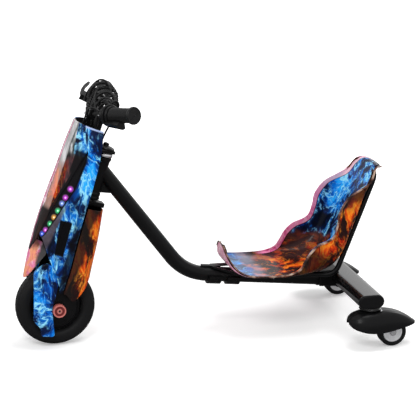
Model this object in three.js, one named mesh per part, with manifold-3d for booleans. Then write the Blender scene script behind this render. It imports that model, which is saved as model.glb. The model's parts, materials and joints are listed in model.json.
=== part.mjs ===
import * as THREE from 'three';
import { mergeVertices } from 'three/addons/utils/BufferGeometryUtils.js';
import Module from 'manifold-3d';

const wasm = await Module();
wasm.setup();

// Lengths are millimetres. X runs forward, Y to the rider's left and Z up.
// Places are measured from the front axle's centre line until the last step,
// which moves the whole scooter so that its footprint is centred on the origin.

// Shared clearances and how finely round forms are divided
const clearance = 0.3;
const runningGap = 0.5;
const overrun = 4;
const weldDistance = 0.0001;
const wheelSides = 26;
const roundSides = 16;
const smallSides = 10;
const casterSides = 18;

// Wheels and stance
const wheelRadius = 105;
const tyreWidth = 58;
const rakeAngle = THREE.MathUtils.degToRad(18);
const casterRadius = 37.5;
const casterTyreWidth = 32;
const casterAxisX = -798;
const casterTrail = 61;
const tailReach = 125;

// Frame tubes
const tubeRadius = 19.5;
const tubeWall = 2.5;
const mainTubeSides = 12;
const mainTubeSteps = 22;
const headTubeRadius = 23;
const headTubeBore = 17;
const headTubeLow = 312;
const headTubeHigh = 416;
const headFlange = 2;
const headFlangeHeight = 7;
const downTubeX = -119;
const downTubeZ = 366.6;
const bendX = -352;
const bendZ = 61.2;
const bendTangent = 62;
const tubeEndX = -751;
const tubeEndZ = 18.5;
const gussetThickness = 8;
const gussetReach = 74;
const gussetHeight = 42;

// Crossbeam
const beamX = -793;
const beamZ = 25;
const beamDepth = 70;
const beamHeight = 36;
const beamWall = 3;
const beamHalfLength = 246;
const casterInset = 21;
const casterAxisY = beamHalfLength - casterInset;
const capThickness = 6;
const capPlugLength = 14;
// Seat
const seatFrontX = -453;
const seatLength = 445;
const seatLowZ = 66;
const seatHeight = 286;
const seatHalfWidth = 111;
const seatWall = 4;
const seatFlange = 8;
const seatAcrossSteps = 10;

// Seat supports
const clampWall = 7;
const clampLength = 36;
const frontClampX = -432;
const rearClampX = -484;
const bracketWidth = 14;
const bracketThickness = 5;
const bracketFrontX = -398;
const bracketEndX = -484;
const bracketEndY = 44;
const rearBracketX = -618;
const rearBracketHalfLength = 30;
const rearBracketHalfWidth = 22;
const frameBarRadius = 7;
const frameTopHalf = 63;
const frameCornerHalf = 84;
const framePlateHalf = 52;
const framePlateThickness = 12;
const frameBend = 30;

// Steering, measured along and across the head axis from the front axle
const steererRadius = 14;
const cupRadius = 25.5;
const lowerCupGap = 2;
const crownLow = 285;
const crownHigh = 297;
const upperYokeLow = 429.3;
const yokeThickness = 8;
const yokeNeck = 27;
const earDepth = 12;
const tongueReach = 42;
const tongueHalfWidth = 14;
const capHeight = 8;
const knobRadius = 8;
const legInner = 38;
const legThickness = 8;
const legFront = 62;
const legWidth = 26;
const legTop = 462;
const dropoutRadius = 18;
const axleRadius = 7;
const nutRadius = 11;
const nutLength = 8;
const axleCapRadius = 17.5;
const axleCapOut = 17;
const axleCapEdge = 2;

// Handlebar, in the steering's own directions: forward, left and up the axis
const barRadius = 11.1;
const barWall = 2;
const barBend = 14;
const stemX = 58;
const stemRadius = 15;
const clampHalfDepth = 17;
const clampHalfWidth = 22;
const clampHalfHeight = 16;
const stemRise = 82.7;
const barHeight = upperYokeLow + yokeThickness + stemRise;
const barCornerY = 30;
const barRise = 45;
const barEndX = 2;
const barEndY = 160;
const barEndZ = barHeight + barRise;
const gripRadius = 19;
const gripLength = 80;
const gripFlangeRadius = 23;
const gripEndWall = 4;
const throttleHubLength = 9;
const throttleHubRadius = 23;
const throttleDrumLength = 22;
const throttleDrumRadius = 29;
const paddleInner = 22;
const paddleOuter = 33;
const paddleLength = 40;
const paddleHalfAngle = THREE.MathUtils.degToRad(22);
const perchLength = 26;
const perchRadius = 17;
const perchWall = 4;
const pivotForward = 38;
const pivotRadius = 3;
const pivotBoss = 7;
const leverThickness = 8;
const leverReach = 82;
const bellRadius = 14;
const bellHeight = 12;
const bellStalk = 3;
const bellRingLength = 10;
const bellDistance = 113.5;
const bellLift = throttleDrumRadius + bellStalk;
const cableRadius = 2.6;
const cableStraight = 9;

// Fairing
const skinLow = 30;
const skinHigh = 490;
const skinReach = 117;
const skinHalfWidth = 75;
const fairingWall = 3;
const fairingLow = 46;
const shieldLow = 130;
const stripLow = 178;
const stripHigh = 420;
const stripRamp = 12;
const stripRecess = 1;
const guardLow = 52;
const guardLift = 84;
const guardHigh = 164;
const guardSeam = 1.4;
const rearCoverReach = 66;
const rearCoverDrop = 98;
const rearCoverGap = 0.6;
const legCoverReach = 92;
const legCoverRise = 132;
const legCoverThickness = 9.5;
const legCoverWall = 2.5;

// Battery and controller, between the fork legs
const batteryFront = 94;
const batteryRear = 33;
const batteryHeight = 126;
const batteryChamfer = 10;
const controllerFront = 90;
const controllerRear = 40;
const controllerHalfWidth = 28;
const controllerHeight = 116;
const ribCount = 6;
const ribDepth = 5;
const ribThickness = 4;

// Front wheel
const tyreDepth = 42;
const rimRadius = wheelRadius - tyreDepth;
const hubHalfWidth = 31;
const hubBossRadius = 20;
const hubBossHalfWidth = 34;

// Casters: heights are from the ground and distances from the swivel axis
const pinFlangeRadius = 30;
const pinRadius = 9;
const pinHeadRadius = 14;
const pinHeadHeight = 8;
const bossDepth = 34;
const swivelGap = 8.4;
const deckHeight = wheelRadius + beamZ - beamHeight / 2 - swivelGap;
const housingHalfWidth = 45;
const housingWall = 3;
const armThickness = 6;
const casterRimRadius = 26;
const casterAxleRadius = 5;
const casterNutRadius = 7.5;
const casterNutLength = 5;
const casterTreadGroove = 2;

// Finishes
function finish(color, roughness, metalness = 0) {
  return new THREE.MeshStandardMaterial({ color, roughness, metalness });
}
const blackPaint = finish(0x17171a, 0.28, 0.3);
const blackPlastic = finish(0x1c1c1e, 0.45);
const rubber = finish(0x161616, 0.85);
const bluePrint = finish(0x1668e8, 0.2);
const orangePrint = finish(0xe0621c, 0.2);
const pinkPrint = finish(0xe79ab8, 0.2);
const seatPrint = finish(0xc8501c, 0.2);
const smokePlastic = finish(0x6d7470, 0.3);
const steel = finish(0xb9bcc0, 0.35, 0.9);
const whitePlastic = finish(0xe4e4e6, 0.35);
const redPlastic = finish(0xc4504c, 0.4);
const lightStripFinish = finish(0x0c0c10, 0.15);
const batteryFinish = finish(0x2b4f86, 0.6);

const scooter = new THREE.Group();
const chassis = new THREE.Group();
chassis.position.z = wheelRadius;
scooter.add(chassis);

// Everything that turns with the handlebar shares this leaned group
const steering = new THREE.Group();
steering.rotation.y = -rakeAngle;
chassis.add(steering);

function addMesh(parent, name, geometry, material) {
  const mesh = new THREE.Mesh(geometry, material);
  mesh.name = name;
  parent.add(mesh);
  return mesh;
}

function toSolid(geometry) {
  const bare = geometry.clone();
  bare.deleteAttribute('normal');
  bare.deleteAttribute('uv');
  const merged = mergeVertices(bare, weldDistance);
  return new wasm.Manifold(new wasm.Mesh({
    numProp: 3,
    vertProperties: new Float32Array(merged.attributes.position.array),
    triVerts: new Uint32Array(merged.index.array),
  }));
}

function toGeometry(solid) {
  const mesh = solid.getMesh();
  const geometry = new THREE.BufferGeometry();
  geometry.setAttribute('position', new THREE.BufferAttribute(mesh.vertProperties, 3));
  geometry.setIndex(new THREE.BufferAttribute(mesh.triVerts, 1));
  geometry.computeVertexNormals();
  return geometry;
}

function cut(geometry, ...tools) {
  let solid = toSolid(geometry);
  for (const tool of tools) {
    solid = solid.subtract(toSolid(tool));
  }
  return toGeometry(solid);
}

function join(...geometries) {
  let solid = toSolid(geometries[0]);
  for (const geometry of geometries.slice(1)) {
    solid = solid.add(toSolid(geometry));
  }
  return toGeometry(solid);
}

function overlapOf(geometry, tool) {
  return toGeometry(toSolid(geometry).intersect(toSolid(tool)));
}

// A box from its low corner to its high corner
function boxBetween(lowX, lowY, lowZ, highX, highY, highZ) {
  const box = new THREE.BoxGeometry(highX - lowX, highY - lowY, highZ - lowZ);
  box.translate((lowX + highX) / 2, (lowY + highY) / 2, (lowZ + highZ) / 2);
  return box;
}

// A ring or disc turned about Z: pairs of radius and height, listed round the section
function turnedZ(profile, segments) {
  const points = profile.map(([radius, height]) => new THREE.Vector2(radius, height));
  const geometry = new THREE.LatheGeometry([...points, points[0].clone()], segments);
  geometry.rotateX(Math.PI / 2);
  if (signedVolume(geometry) < 0) {
    geometry.setIndex(reversed(Array.from(geometry.index.array)));
  }
  return geometry;
}

function turnedY(profile, segments) {
  const geometry = turnedZ(profile, segments);
  geometry.rotateX(-Math.PI / 2);
  return geometry;
}

function discZ(radius, low, high, segments) {
  return turnedZ([[0, low], [radius, low], [radius, high], [0, high]], segments);
}

function discY(radius, low, high, segments) {
  return turnedY([[0, low], [radius, low], [radius, high], [0, high]], segments);
}

function outline(points) {
  const shape = new THREE.Shape();
  points.forEach(([x, y], index) => {
    if (index === 0) {
      shape.moveTo(x, y);
    } else {
      shape.lineTo(x, y);
    }
  });
  shape.closePath();
  return shape;
}

// Turns pairs of shares into points of a figure of the given size
function placed(shares, width, height, startX = 0, startY = 0) {
  return shares.map(([across, up]) => [startX + across * width, startY + up * height]);
}

// Extrudes an outline drawn in X and Z from one Y to another
function plateY(shape, lowY, highY, bevel = 0) {
  const geometry = new THREE.ExtrudeGeometry(shape, {
    depth: highY - lowY - 2 * bevel,
    bevelEnabled: bevel > 0,
    bevelThickness: bevel,
    bevelSize: bevel,
    bevelOffset: -bevel,
    bevelSegments: 1,
    curveSegments: 6,
  });
  geometry.rotateX(Math.PI / 2);
  geometry.translate(0, highY - bevel, 0);
  return geometry;
}

// Extrudes an outline drawn in X and Y from one Z to another
function plateZ(shape, lowZ, highZ, bevel = 0) {
  const geometry = new THREE.ExtrudeGeometry(shape, {
    depth: highZ - lowZ - 2 * bevel,
    bevelEnabled: bevel > 0,
    bevelThickness: bevel,
    bevelSize: bevel,
    bevelOffset: -bevel,
    bevelSegments: 1,
    curveSegments: 6,
  });
  geometry.translate(0, 0, lowZ + bevel);
  return geometry;
}

function roundSection(radius, sides) {
  const shape = new THREE.Shape();
  for (let side = 0; side < sides; side += 1) {
    const angle = (2 * Math.PI * side) / sides;
    const x = radius * Math.cos(angle);
    const y = radius * Math.sin(angle);
    if (side === 0) {
      shape.moveTo(x, y);
    } else {
      shape.lineTo(x, y);
    }
  }
  shape.closePath();
  return shape;
}

function tubeAlong(curve, radius, sides, steps) {
  return new THREE.ExtrudeGeometry(roundSection(radius, sides), {
    steps,
    extrudePath: curve,
    bevelEnabled: false,
  });
}

// Straight runs joined by bends: each bend starts one tangent length before its corner
function bentPath(corners, tangents) {
  const path = new THREE.CurvePath();
  let from = corners[0];
  for (let index = 1; index < corners.length - 1; index += 1) {
    const corner = corners[index];
    const before = corner.clone().sub(corners[index - 1]).normalize();
    const after = corners[index + 1].clone().sub(corner).normalize();
    const bendStart = corner.clone().addScaledVector(before, -tangents[index - 1]);
    const bendEnd = corner.clone().addScaledVector(after, tangents[index - 1]);
    path.add(new THREE.LineCurve3(from, bendStart));
    path.add(new THREE.QuadraticBezierCurve3(bendStart, corner, bendEnd));
    from = bendEnd;
  }
  path.add(new THREE.LineCurve3(from, corners[corners.length - 1]));
  return path;
}

// A closed body between two grids of points of the same size, open-edged sheets front and back
function thickSheet(front, back) {
  const rows = front.length;
  const columns = front[0].length;
  const positions = [];
  const indices = [];
  for (const grid of [front, back]) {
    for (const row of grid) {
      for (const point of row) {
        positions.push(point.x, point.y, point.z);
      }
    }
  }
  const backStart = rows * columns;
  const at = (row, column) => row * columns + column;
  for (let row = 0; row < rows - 1; row += 1) {
    for (let column = 0; column < columns - 1; column += 1) {
      const a = at(row, column);
      const b = at(row, column + 1);
      const c = at(row + 1, column + 1);
      const d = at(row + 1, column);
      indices.push(a, b, c, a, c, d);
      indices.push(backStart + a, backStart + c, backStart + b);
      indices.push(backStart + a, backStart + d, backStart + c);
    }
  }
  const rim = [];
  for (let column = 0; column < columns; column += 1) rim.push(at(0, column));
  for (let row = 1; row < rows; row += 1) rim.push(at(row, columns - 1));
  for (let column = columns - 2; column >= 0; column -= 1) rim.push(at(rows - 1, column));
  for (let row = rows - 2; row > 0; row -= 1) rim.push(at(row, 0));
  rim.forEach((point, index) => {
    const next = rim[(index + 1) % rim.length];
    indices.push(point, backStart + point, backStart + next);
    indices.push(point, backStart + next, next);
  });
  const geometry = new THREE.BufferGeometry();
  geometry.setAttribute('position', new THREE.Float32BufferAttribute(positions, 3));
  geometry.setIndex(indices);
  const volume = signedVolume(geometry);
  if (volume < 0) {
    geometry.setIndex(reversed(indices));
  }
  geometry.computeVertexNormals();
  return geometry;
}

function reversed(indices) {
  const flipped = [];
  for (let index = 0; index < indices.length; index += 3) {
    flipped.push(indices[index], indices[index + 2], indices[index + 1]);
  }
  return flipped;
}

function signedVolume(geometry) {
  const place = geometry.attributes.position;
  const corners = [new THREE.Vector3(), new THREE.Vector3(), new THREE.Vector3()];
  let total = 0;
  for (let index = 0; index < geometry.index.count; index += 3) {
    corners.forEach((corner, offset) => {
      corner.fromBufferAttribute(place, geometry.index.getX(index + offset));
    });
    total += corners[0].dot(corners[1].clone().cross(corners[2])) / 6;
  }
  return total;
}

// A closed body through rings of the same number of points, capped flat at both ends
function loft(rings) {
  const size = rings[0].length;
  const positions = rings.flat().flatMap((point) => [point.x, point.y, point.z]);
  const indices = [];
  for (let ring = 0; ring < rings.length - 1; ring += 1) {
    for (let point = 0; point < size; point += 1) {
      const next = (point + 1) % size;
      const a = ring * size + point;
      const b = ring * size + next;
      const c = (ring + 1) * size + next;
      const d = (ring + 1) * size + point;
      indices.push(a, b, c, a, c, d);
    }
  }
  const middle = (ring) => {
    const centre = new THREE.Vector3();
    ring.forEach((point) => centre.add(point));
    return centre.divideScalar(size);
  };
  const firstCentre = middle(rings[0]);
  const lastCentre = middle(rings[rings.length - 1]);
  positions.push(firstCentre.x, firstCentre.y, firstCentre.z);
  positions.push(lastCentre.x, lastCentre.y, lastCentre.z);
  const firstIndex = rings.length * size;
  const lastRow = (rings.length - 1) * size;
  for (let point = 0; point < size; point += 1) {
    const next = (point + 1) % size;
    indices.push(firstIndex, next, point);
    indices.push(firstIndex + 1, lastRow + point, lastRow + next);
  }
  const geometry = new THREE.BufferGeometry();
  geometry.setAttribute('position', new THREE.Float32BufferAttribute(positions, 3));
  geometry.setIndex(indices);
  if (signedVolume(geometry) < 0) {
    geometry.setIndex(reversed(indices));
  }
  geometry.computeVertexNormals();
  return geometry;
}

function mirroredY(geometry) {
  const copy = geometry.clone();
  copy.scale(1, -1, 1);
  const flat = copy.index ? copy : mergeVertices(copy);
  flat.setIndex(reversed(Array.from(flat.index.array)));
  flat.computeVertexNormals();
  return flat;
}

// Moves a geometry from the steering's leaned directions to the chassis' own
function leaned(geometry) {
  const copy = geometry.clone();
  copy.rotateY(-rakeAngle);
  return copy;
}

// Frame
const downTubeStart = new THREE.Vector3(downTubeX, 0, downTubeZ);
const bendPoint = new THREE.Vector3(bendX, 0, bendZ);
const tubeEndPoint = new THREE.Vector3(tubeEndX, 0, tubeEndZ);
const mainTubePath = bentPath([downTubeStart, bendPoint, tubeEndPoint], [bendTangent]);

function tubeAxisHeight(x) {
  const slope = (tubeEndPoint.z - bendPoint.z) / (tubeEndPoint.x - bendPoint.x);
  return bendPoint.z + slope * (x - bendPoint.x);
}

function mainTube(radius, sides = mainTubeSides, steps = mainTubeSteps) {
  return tubeAlong(mainTubePath, radius, sides, steps);
}

function stadium(depth, height, cornerSegments = 7) {
  const radius = height / 2;
  const straight = depth / 2 - radius;
  const points = [];
  for (let step = 0; step <= cornerSegments; step += 1) {
    const angle = -Math.PI / 2 + (Math.PI * step) / cornerSegments;
    points.push([straight + radius * Math.cos(angle), radius * Math.sin(angle)]);
  }
  for (let step = 0; step <= cornerSegments; step += 1) {
    const angle = Math.PI / 2 + (Math.PI * step) / cornerSegments;
    points.push([-straight + radius * Math.cos(angle), radius * Math.sin(angle)]);
  }
  return points;
}

function placedStadium(depth, height) {
  return outline(stadium(depth, height).map(([x, z]) => [x + beamX, z + beamZ]));
}

function headTube() {
  const flangeRadius = headTubeRadius + headFlange;
  return turnedZ([
    [headTubeBore, headTubeLow],
    [flangeRadius, headTubeLow],
    [flangeRadius, headTubeLow + headFlangeHeight],
    [headTubeRadius, headTubeLow + headFlangeHeight + headFlange],
    [headTubeRadius, headTubeHigh - headFlangeHeight - headFlange],
    [flangeRadius, headTubeHigh - headFlangeHeight],
    [flangeRadius, headTubeHigh],
    [headTubeBore, headTubeHigh],
  ], roundSides);
}

function headSleeve(radius) {
  return leaned(discZ(radius, headTubeLow - overrun, headTubeHigh + overrun, roundSides));
}

function headCup(low, high) {
  const inner = steererRadius + runningGap;
  const lip = (high - low) / 3;
  return turnedZ([
    [inner, low],
    [cupRadius - lip, low],
    [cupRadius, low + lip],
    [cupRadius, high - lip],
    [cupRadius - lip / 2, high],
    [inner, high],
  ], roundSides);
}

function gusset() {
  const rear = headTubeRadius;
  const low = headTubeLow + headFlangeHeight + headFlange + clearance;
  const plate = leaned(plateY(outline([
    [-rear, low],
    [-rear, low + gussetHeight],
    [-rear - gussetReach, low + gussetHeight / 4],
    [-rear - gussetReach, low - gussetHeight / 3],
    [-rear - gussetReach / 2, low + headFlangeHeight],
  ]), -gussetThickness / 2, gussetThickness / 2));
  return cut(plate, mainTube(tubeRadius + clearance), headSleeve(headTubeRadius + clearance));
}

function crossbeam() {
  const shape = placedStadium(beamDepth, beamHeight);
  shape.holes.push(placedStadium(beamDepth - 2 * beamWall, beamHeight - 2 * beamWall));
  return plateY(shape, -beamHalfLength, beamHalfLength);
}

function beamCap() {
  const inset = 2 * (beamWall + clearance);
  const face = plateY(
    placedStadium(beamDepth, beamHeight),
    beamHalfLength + clearance,
    beamHalfLength + clearance + capThickness,
    capThickness / 4,
  );
  const plug = plateY(
    placedStadium(beamDepth - inset, beamHeight - inset),
    beamHalfLength - capPlugLength,
    beamHalfLength + clearance + capThickness / 2,
  );
  return join(face, plug);
}

const saddleWall = 6;
const saddleHalfWidth = 28;
const saddleNose = 34;

function beamSaddle() {
  const front = beamX + beamDepth / 2;
  const strap = plateY(
    placedStadium(beamDepth + 2 * saddleWall, beamHeight + 2 * saddleWall),
    -saddleHalfWidth,
    saddleHalfWidth,
  );
  const keep = boxBetween(
    front - beamHeight / 2,
    -saddleHalfWidth - overrun,
    beamZ - beamHeight,
    front + saddleNose,
    saddleHalfWidth + overrun,
    beamZ + beamHeight,
  );
  const socket = plateY(outline([
    [front - beamHeight / 2, beamZ - beamHeight / 2 - saddleWall],
    [front + saddleNose, beamZ - beamHeight / 2 - saddleWall / 2],
    [front + saddleNose, beamZ + beamHeight / 2 + saddleWall / 2],
    [front - beamHeight / 2, beamZ + beamHeight / 2 + saddleWall],
  ]), -saddleHalfWidth, saddleHalfWidth, saddleWall / 3);
  const bar = plateY(
    placedStadium(beamDepth + 2 * clearance, beamHeight + 2 * clearance),
    -beamHalfLength,
    beamHalfLength,
  );
  return cut(join(overlapOf(strap, keep), socket), bar, mainTube(tubeRadius + clearance));
}

addMesh(steering, 'head_tube', headTube(), blackPaint);
addMesh(
  steering,
  'lower_head_cup',
  headCup(crownHigh + lowerCupGap, headTubeLow - clearance),
  blackPaint,
);
const upperCupTop = upperYokeLow - lowerCupGap;
addMesh(steering, 'upper_head_cup', headCup(headTubeHigh + clearance, upperCupTop), steel);
addMesh(
  chassis,
  'main_tube',
  cut(
    mainTube(tubeRadius),
    mainTube(tubeRadius - tubeWall, mainTubeSides, mainTubeSteps / 2),
    headSleeve(headTubeRadius + clearance),
    plateY(placedStadium(beamDepth + 2 * clearance, beamHeight + 2 * clearance), -beamDepth, beamDepth),
  ),
  blackPaint,
);
addMesh(chassis, 'frame_gusset', gusset(), blackPaint);
addMesh(chassis, 'crossbeam', crossbeam(), blackPaint);
addMesh(chassis, 'beam_cap_left', beamCap(), blackPlastic);
addMesh(chassis, 'beam_cap_right', mirroredY(beamCap()), blackPlastic);
addMesh(chassis, 'beam_saddle', beamSaddle(), blackPaint);

// Seat: a moulded shell, drawn station by station from the nose to the curled top.
// Each row: the middle's share of the length and of the height, the share of the half width,
// then the rim's share of the length and of the height
const seatShares = [
  [0, 0.232, 0.27, -0.002, 0.246],
  [0.013, 0.132, 0.62, 0.016, 0.165],
  [0.036, 0.06, 0.8, 0.043, 0.094],
  [0.108, 0.012, 0.93, 0.099, 0.038],
  [0.225, 0, 0.99, 0.207, 0.021],
  [0.353, -0.007, 1, 0.33, 0.024],
  [0.463, -0.003, 1, 0.407, 0.059],
  [0.542, 0, 0.99, 0.443, 0.133],
  [0.596, 0.01, 0.985, 0.474, 0.213],
  [0.639, 0.045, 0.975, 0.524, 0.283],
  [0.67, 0.108, 0.965, 0.587, 0.321],
  [0.696, 0.192, 0.955, 0.625, 0.367],
  [0.733, 0.329, 0.94, 0.645, 0.465],
  [0.773, 0.479, 0.915, 0.658, 0.577],
  [0.811, 0.626, 0.88, 0.703, 0.706],
  [0.843, 0.745, 0.83, 0.779, 0.78],
  [0.873, 0.853, 0.76, 0.856, 0.829],
  [0.892, 0.91, 0.68, 0.882, 0.888],
  [0.908, 0.95, 0.61, 0.901, 0.929],
  [0.937, 0.962, 0.56, 0.931, 0.945],
  [0.975, 0.918, 0.51, 0.971, 0.904],
];
const seatCurvePowerShare = 0.5;

function seatPoint(along, up) {
  return new THREE.Vector3(seatFrontX - along * seatLength, 0, seatLowZ + up * seatHeight);
}

function seatSurface() {
  return seatShares.map(([along, up, width, rimAlong, rimUp]) => {
    const middle = seatPoint(along, up);
    const wall = seatPoint(rimAlong, rimUp).sub(middle);
    const row = [];
    for (let column = 0; column <= seatAcrossSteps; column += 1) {
      const angle = (Math.PI / 2) * (-1 + (2 * column) / seatAcrossSteps);
      const across = Math.sign(angle) * Math.abs(Math.sin(angle)) ** seatCurvePowerShare;
      const lift = 1 - Math.max(Math.cos(angle), 0) ** seatCurvePowerShare;
      row.push(middle.clone()
        .addScaledVector(wall, lift)
        .add(new THREE.Vector3(0, width * seatHalfWidth * across, 0)));
    }
    // The rim rolls outward and a little back down on both sides
    const back = wall.clone().normalize().multiplyScalar(-seatFlange / 2);
    const rolled = (edge, side) => edge.clone()
      .add(back)
      .add(new THREE.Vector3(0, side * seatFlange, 0));
    row.unshift(rolled(row[0], -1));
    row.push(rolled(row[row.length - 1], 1));
    return row;
  });
}

function gridNormal(grid, row, column) {
  const rows = grid.length;
  const columns = grid[0].length;
  const along = grid[Math.min(row + 1, rows - 1)][column].clone()
    .sub(grid[Math.max(row - 1, 0)][column]);
  const across = grid[row][Math.min(column + 1, columns - 1)].clone()
    .sub(grid[row][Math.max(column - 1, 0)]);
  return along.cross(across).normalize();
}

function offsetGrid(grid, distance) {
  return grid.map((row, rowIndex) => row.map((point, columnIndex) => point.clone()
    .addScaledVector(gridNormal(grid, rowIndex, columnIndex), distance)));
}

function seatShell() {
  const inside = seatSurface();
  return thickSheet(inside, offsetGrid(inside, seatWall));
}

addMesh(chassis, 'seat_shell', seatShell(), seatPrint);

// Seat supports
function seatClamp(middle) {
  const rear = middle - clampLength / 2;
  const front = middle + clampLength / 2;
  const ring = discZ(tubeRadius + clampWall, rear, front, roundSides);
  ring.rotateY(Math.PI / 2);
  const reach = tubeRadius + clampWall + overrun;
  const lower = overlapOf(ring, boxBetween(rear - overrun, -reach, -reach, front + overrun, reach, 0));
  const ear = (side) => boxBetween(
    rear,
    side * (tubeRadius + clampWall) - clampWall / 2,
    -clampWall,
    front,
    side * (tubeRadius + clampWall) + clampWall / 2,
    0,
  );
  const clamp = join(lower, ear(1), ear(-1));
  const slope = Math.atan2(tubeEndPoint.z - bendPoint.z, tubeEndPoint.x - bendPoint.x) + Math.PI;
  clamp.translate(-middle, 0, 0);
  clamp.rotateY(-slope);
  clamp.translate(middle, 0, tubeAxisHeight(middle));
  return cut(clamp, mainTube(tubeRadius + clearance));
}

// The lowest point of the shell's underside over a patch either side of the middle
function seatUnderside(rear, front, reach) {
  const below = offsetGrid(seatSurface(), seatWall).flat()
    .filter((point) => point.x >= rear && point.x <= front && Math.abs(point.y) <= reach);
  return Math.min(...below.map((point) => point.z));
}

function frontSeatBracket() {
  const top = (x) => tubeAxisHeight(x) + tubeRadius + clearance;
  const tabEnd = frontClampX - clampLength / 2;
  const reach = bracketEndY + bracketWidth;
  const endTop = seatUnderside(bracketEndX - reach, bracketEndX + reach / 2, reach) - clearance;
  const bar = (fromX, fromY, fromZ, toX, toY, toZ) => {
    const half = bracketWidth / 2;
    const ring = (x, y, z) => [
      new THREE.Vector3(x, y - half, z),
      new THREE.Vector3(x, y + half, z),
      new THREE.Vector3(x, y + half, z + bracketThickness),
      new THREE.Vector3(x, y - half, z + bracketThickness),
    ];
    return loft([ring(fromX, fromY, fromZ), ring(toX, toY, toZ)]);
  };
  const tab = bar(bracketFrontX, 0, top(bracketFrontX), tabEnd, 0, top(tabEnd));
  const shoulder = bracketWidth / 3;
  const armStart = (bracketFrontX + tabEnd) / 2;
  const arms = [1, -1].map((side) => bar(
    armStart,
    side * shoulder,
    top(armStart),
    bracketEndX,
    side * bracketEndY,
    endTop - bracketThickness,
  ));
  return cut(join(tab, ...arms), mainTube(tubeRadius + clearance));
}

const rearBracketRear = rearBracketX - rearBracketHalfLength;
const rearBracketFront = rearBracketX + rearBracketHalfLength;
const rearBracketTop = seatUnderside(
  rearBracketRear - framePlateHalf,
  rearBracketFront + framePlateHalf,
  framePlateHalf,
) - clearance;

function rearSeatBracket() {
  const block = boxBetween(
    rearBracketRear,
    -rearBracketHalfWidth,
    tubeAxisHeight(rearBracketRear),
    rearBracketFront,
    rearBracketHalfWidth,
    rearBracketTop,
  );
  const plate = boxBetween(
    rearBracketRear,
    -framePlateHalf,
    rearBracketTop - framePlateThickness,
    rearBracketFront,
    framePlateHalf,
    rearBracketTop,
  );
  return cut(join(block, plate), mainTube(tubeRadius + clearance));
}

// The back frame's hoop follows the shell's back at one bar's radius, then runs forward below
const backLowRow = 12;
const backHighRow = 17;

function seatBackFrame() {
  const low = seatPoint(...seatShares[backLowRow]);
  const high = seatPoint(...seatShares[backHighRow]);
  const rising = high.clone().sub(low).normalize();
  const behind = new THREE.Vector3(-rising.z, 0, rising.x)
    .multiplyScalar(seatWall + frameBarRadius + 2 * runningGap);
  high.add(behind);
  const underZ = rearBracketTop - clearance - frameBarRadius;
  low.add(behind);
  low.addScaledVector(rising, (underZ - low.z) / rising.z);
  const at = (point, y) => new THREE.Vector3(point.x, y, point.z);
  const startX = rearBracketRear - clearance;
  const startY = framePlateHalf - frameBarRadius;
  const path = bentPath([
    new THREE.Vector3(startX, startY, underZ),
    at(low, frameCornerHalf),
    at(high, frameTopHalf),
    at(high, -frameTopHalf),
    at(low, -frameCornerHalf),
    new THREE.Vector3(startX, -startY, underZ),
  ], [frameBend, frameBend, frameBend, frameBend]);
  const ahead = boxBetween(
    startX,
    -framePlateHalf,
    underZ - 2 * frameBarRadius,
    startX + frameBend,
    framePlateHalf,
    underZ + 2 * frameBarRadius,
  );
  return cut(tubeAlong(path, frameBarRadius, 8, 44), ahead);
}

addMesh(chassis, 'seat_clamp_front', seatClamp(frontClampX), blackPaint);
addMesh(chassis, 'seat_clamp_rear', seatClamp(rearClampX), blackPaint);
addMesh(chassis, 'front_seat_bracket', frontSeatBracket(), blackPaint);
addMesh(chassis, 'rear_seat_bracket', rearSeatBracket(), blackPaint);
addMesh(chassis, 'seat_back_frame', seatBackFrame(), blackPaint);

// Fairing skin. Each row: share of the height, of the ridge's reach, of the reach that
// the rear edge stands at, and of the half width
const skinShares = [
  [0, 0.88, 0.051, 0.84],
  [0.211, 0.974, 0.068, 0.88],
  [0.391, 1, 0.12, 0.947],
  [0.587, 0.983, 0.154, 0.987],
  [0.674, 0.957, 0.154, 1],
  [0.87, 0.923, 0.205, 0.973],
  [1, 0.872, 0.308, 0.933],
];
const ridgePowerShare = 0.8;
const flankPowerShare = 1.1;
const stepShare = 0.002;

// Reads a column of a table of shares at a place between its rows
function alongTable(table, at, column) {
  const found = table.findIndex(([key]) => key >= at);
  const index = Math.max(found < 0 ? table.length - 1 : found, 1);
  const before = table[index - 1];
  const after = table[index];
  const share = (at - before[0]) / (after[0] - before[0]);
  return before[column] + (after[column] - before[column]) * share;
}

function skinShare(height) {
  return (height - skinLow) / (skinHigh - skinLow);
}

// A point of the skin: side share from 0 at the ridge to 1 at the rear edge, negative on the right
function skinPoint(sideShare, height) {
  const at = skinShare(height);
  const reach = skinReach * alongTable(skinShares, at, 1);
  const rear = skinReach * alongTable(skinShares, at, 2);
  const halfWidth = skinHalfWidth * alongTable(skinShares, at, 3);
  const angle = Math.abs(sideShare) * (Math.PI / 2);
  return new THREE.Vector3(
    rear + (reach - rear) * Math.max(Math.cos(angle), 0) ** ridgePowerShare,
    Math.sign(sideShare) * halfWidth * Math.sin(angle) ** flankPowerShare,
    height,
  );
}

// The same point pushed a depth into the fairing, square to the skin
function skinInside(sideShare, height, depth) {
  const step = stepShare * (skinHigh - skinLow);
  const across = skinPoint(sideShare + stepShare, height)
    .sub(skinPoint(sideShare - stepShare, height));
  const up = skinPoint(sideShare, height + step).sub(skinPoint(sideShare, height - step));
  const inward = up.cross(across).normalize();
  return skinPoint(sideShare, height).addScaledVector(inward, depth);
}

// A sheet of the skin at the given heights, between two side shares that follow the height
function skinSheet(heights, fromShare, toShare, columns, outerDepth, innerDepth) {
  const grid = (depth) => heights.map((height) => {
    const from = fromShare(height);
    const to = toShare(height);
    const row = [];
    for (let column = 0; column <= columns; column += 1) {
      row.push(skinInside(from + ((to - from) * column) / columns, height, depth));
    }
    return row;
  });
  return thickSheet(grid(outerDepth), grid(innerDepth));
}

function spread(low, high, count) {
  const places = [];
  for (let step = 0; step <= count; step += 1) {
    places.push(low + ((high - low) * step) / count);
  }
  return places;
}

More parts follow.
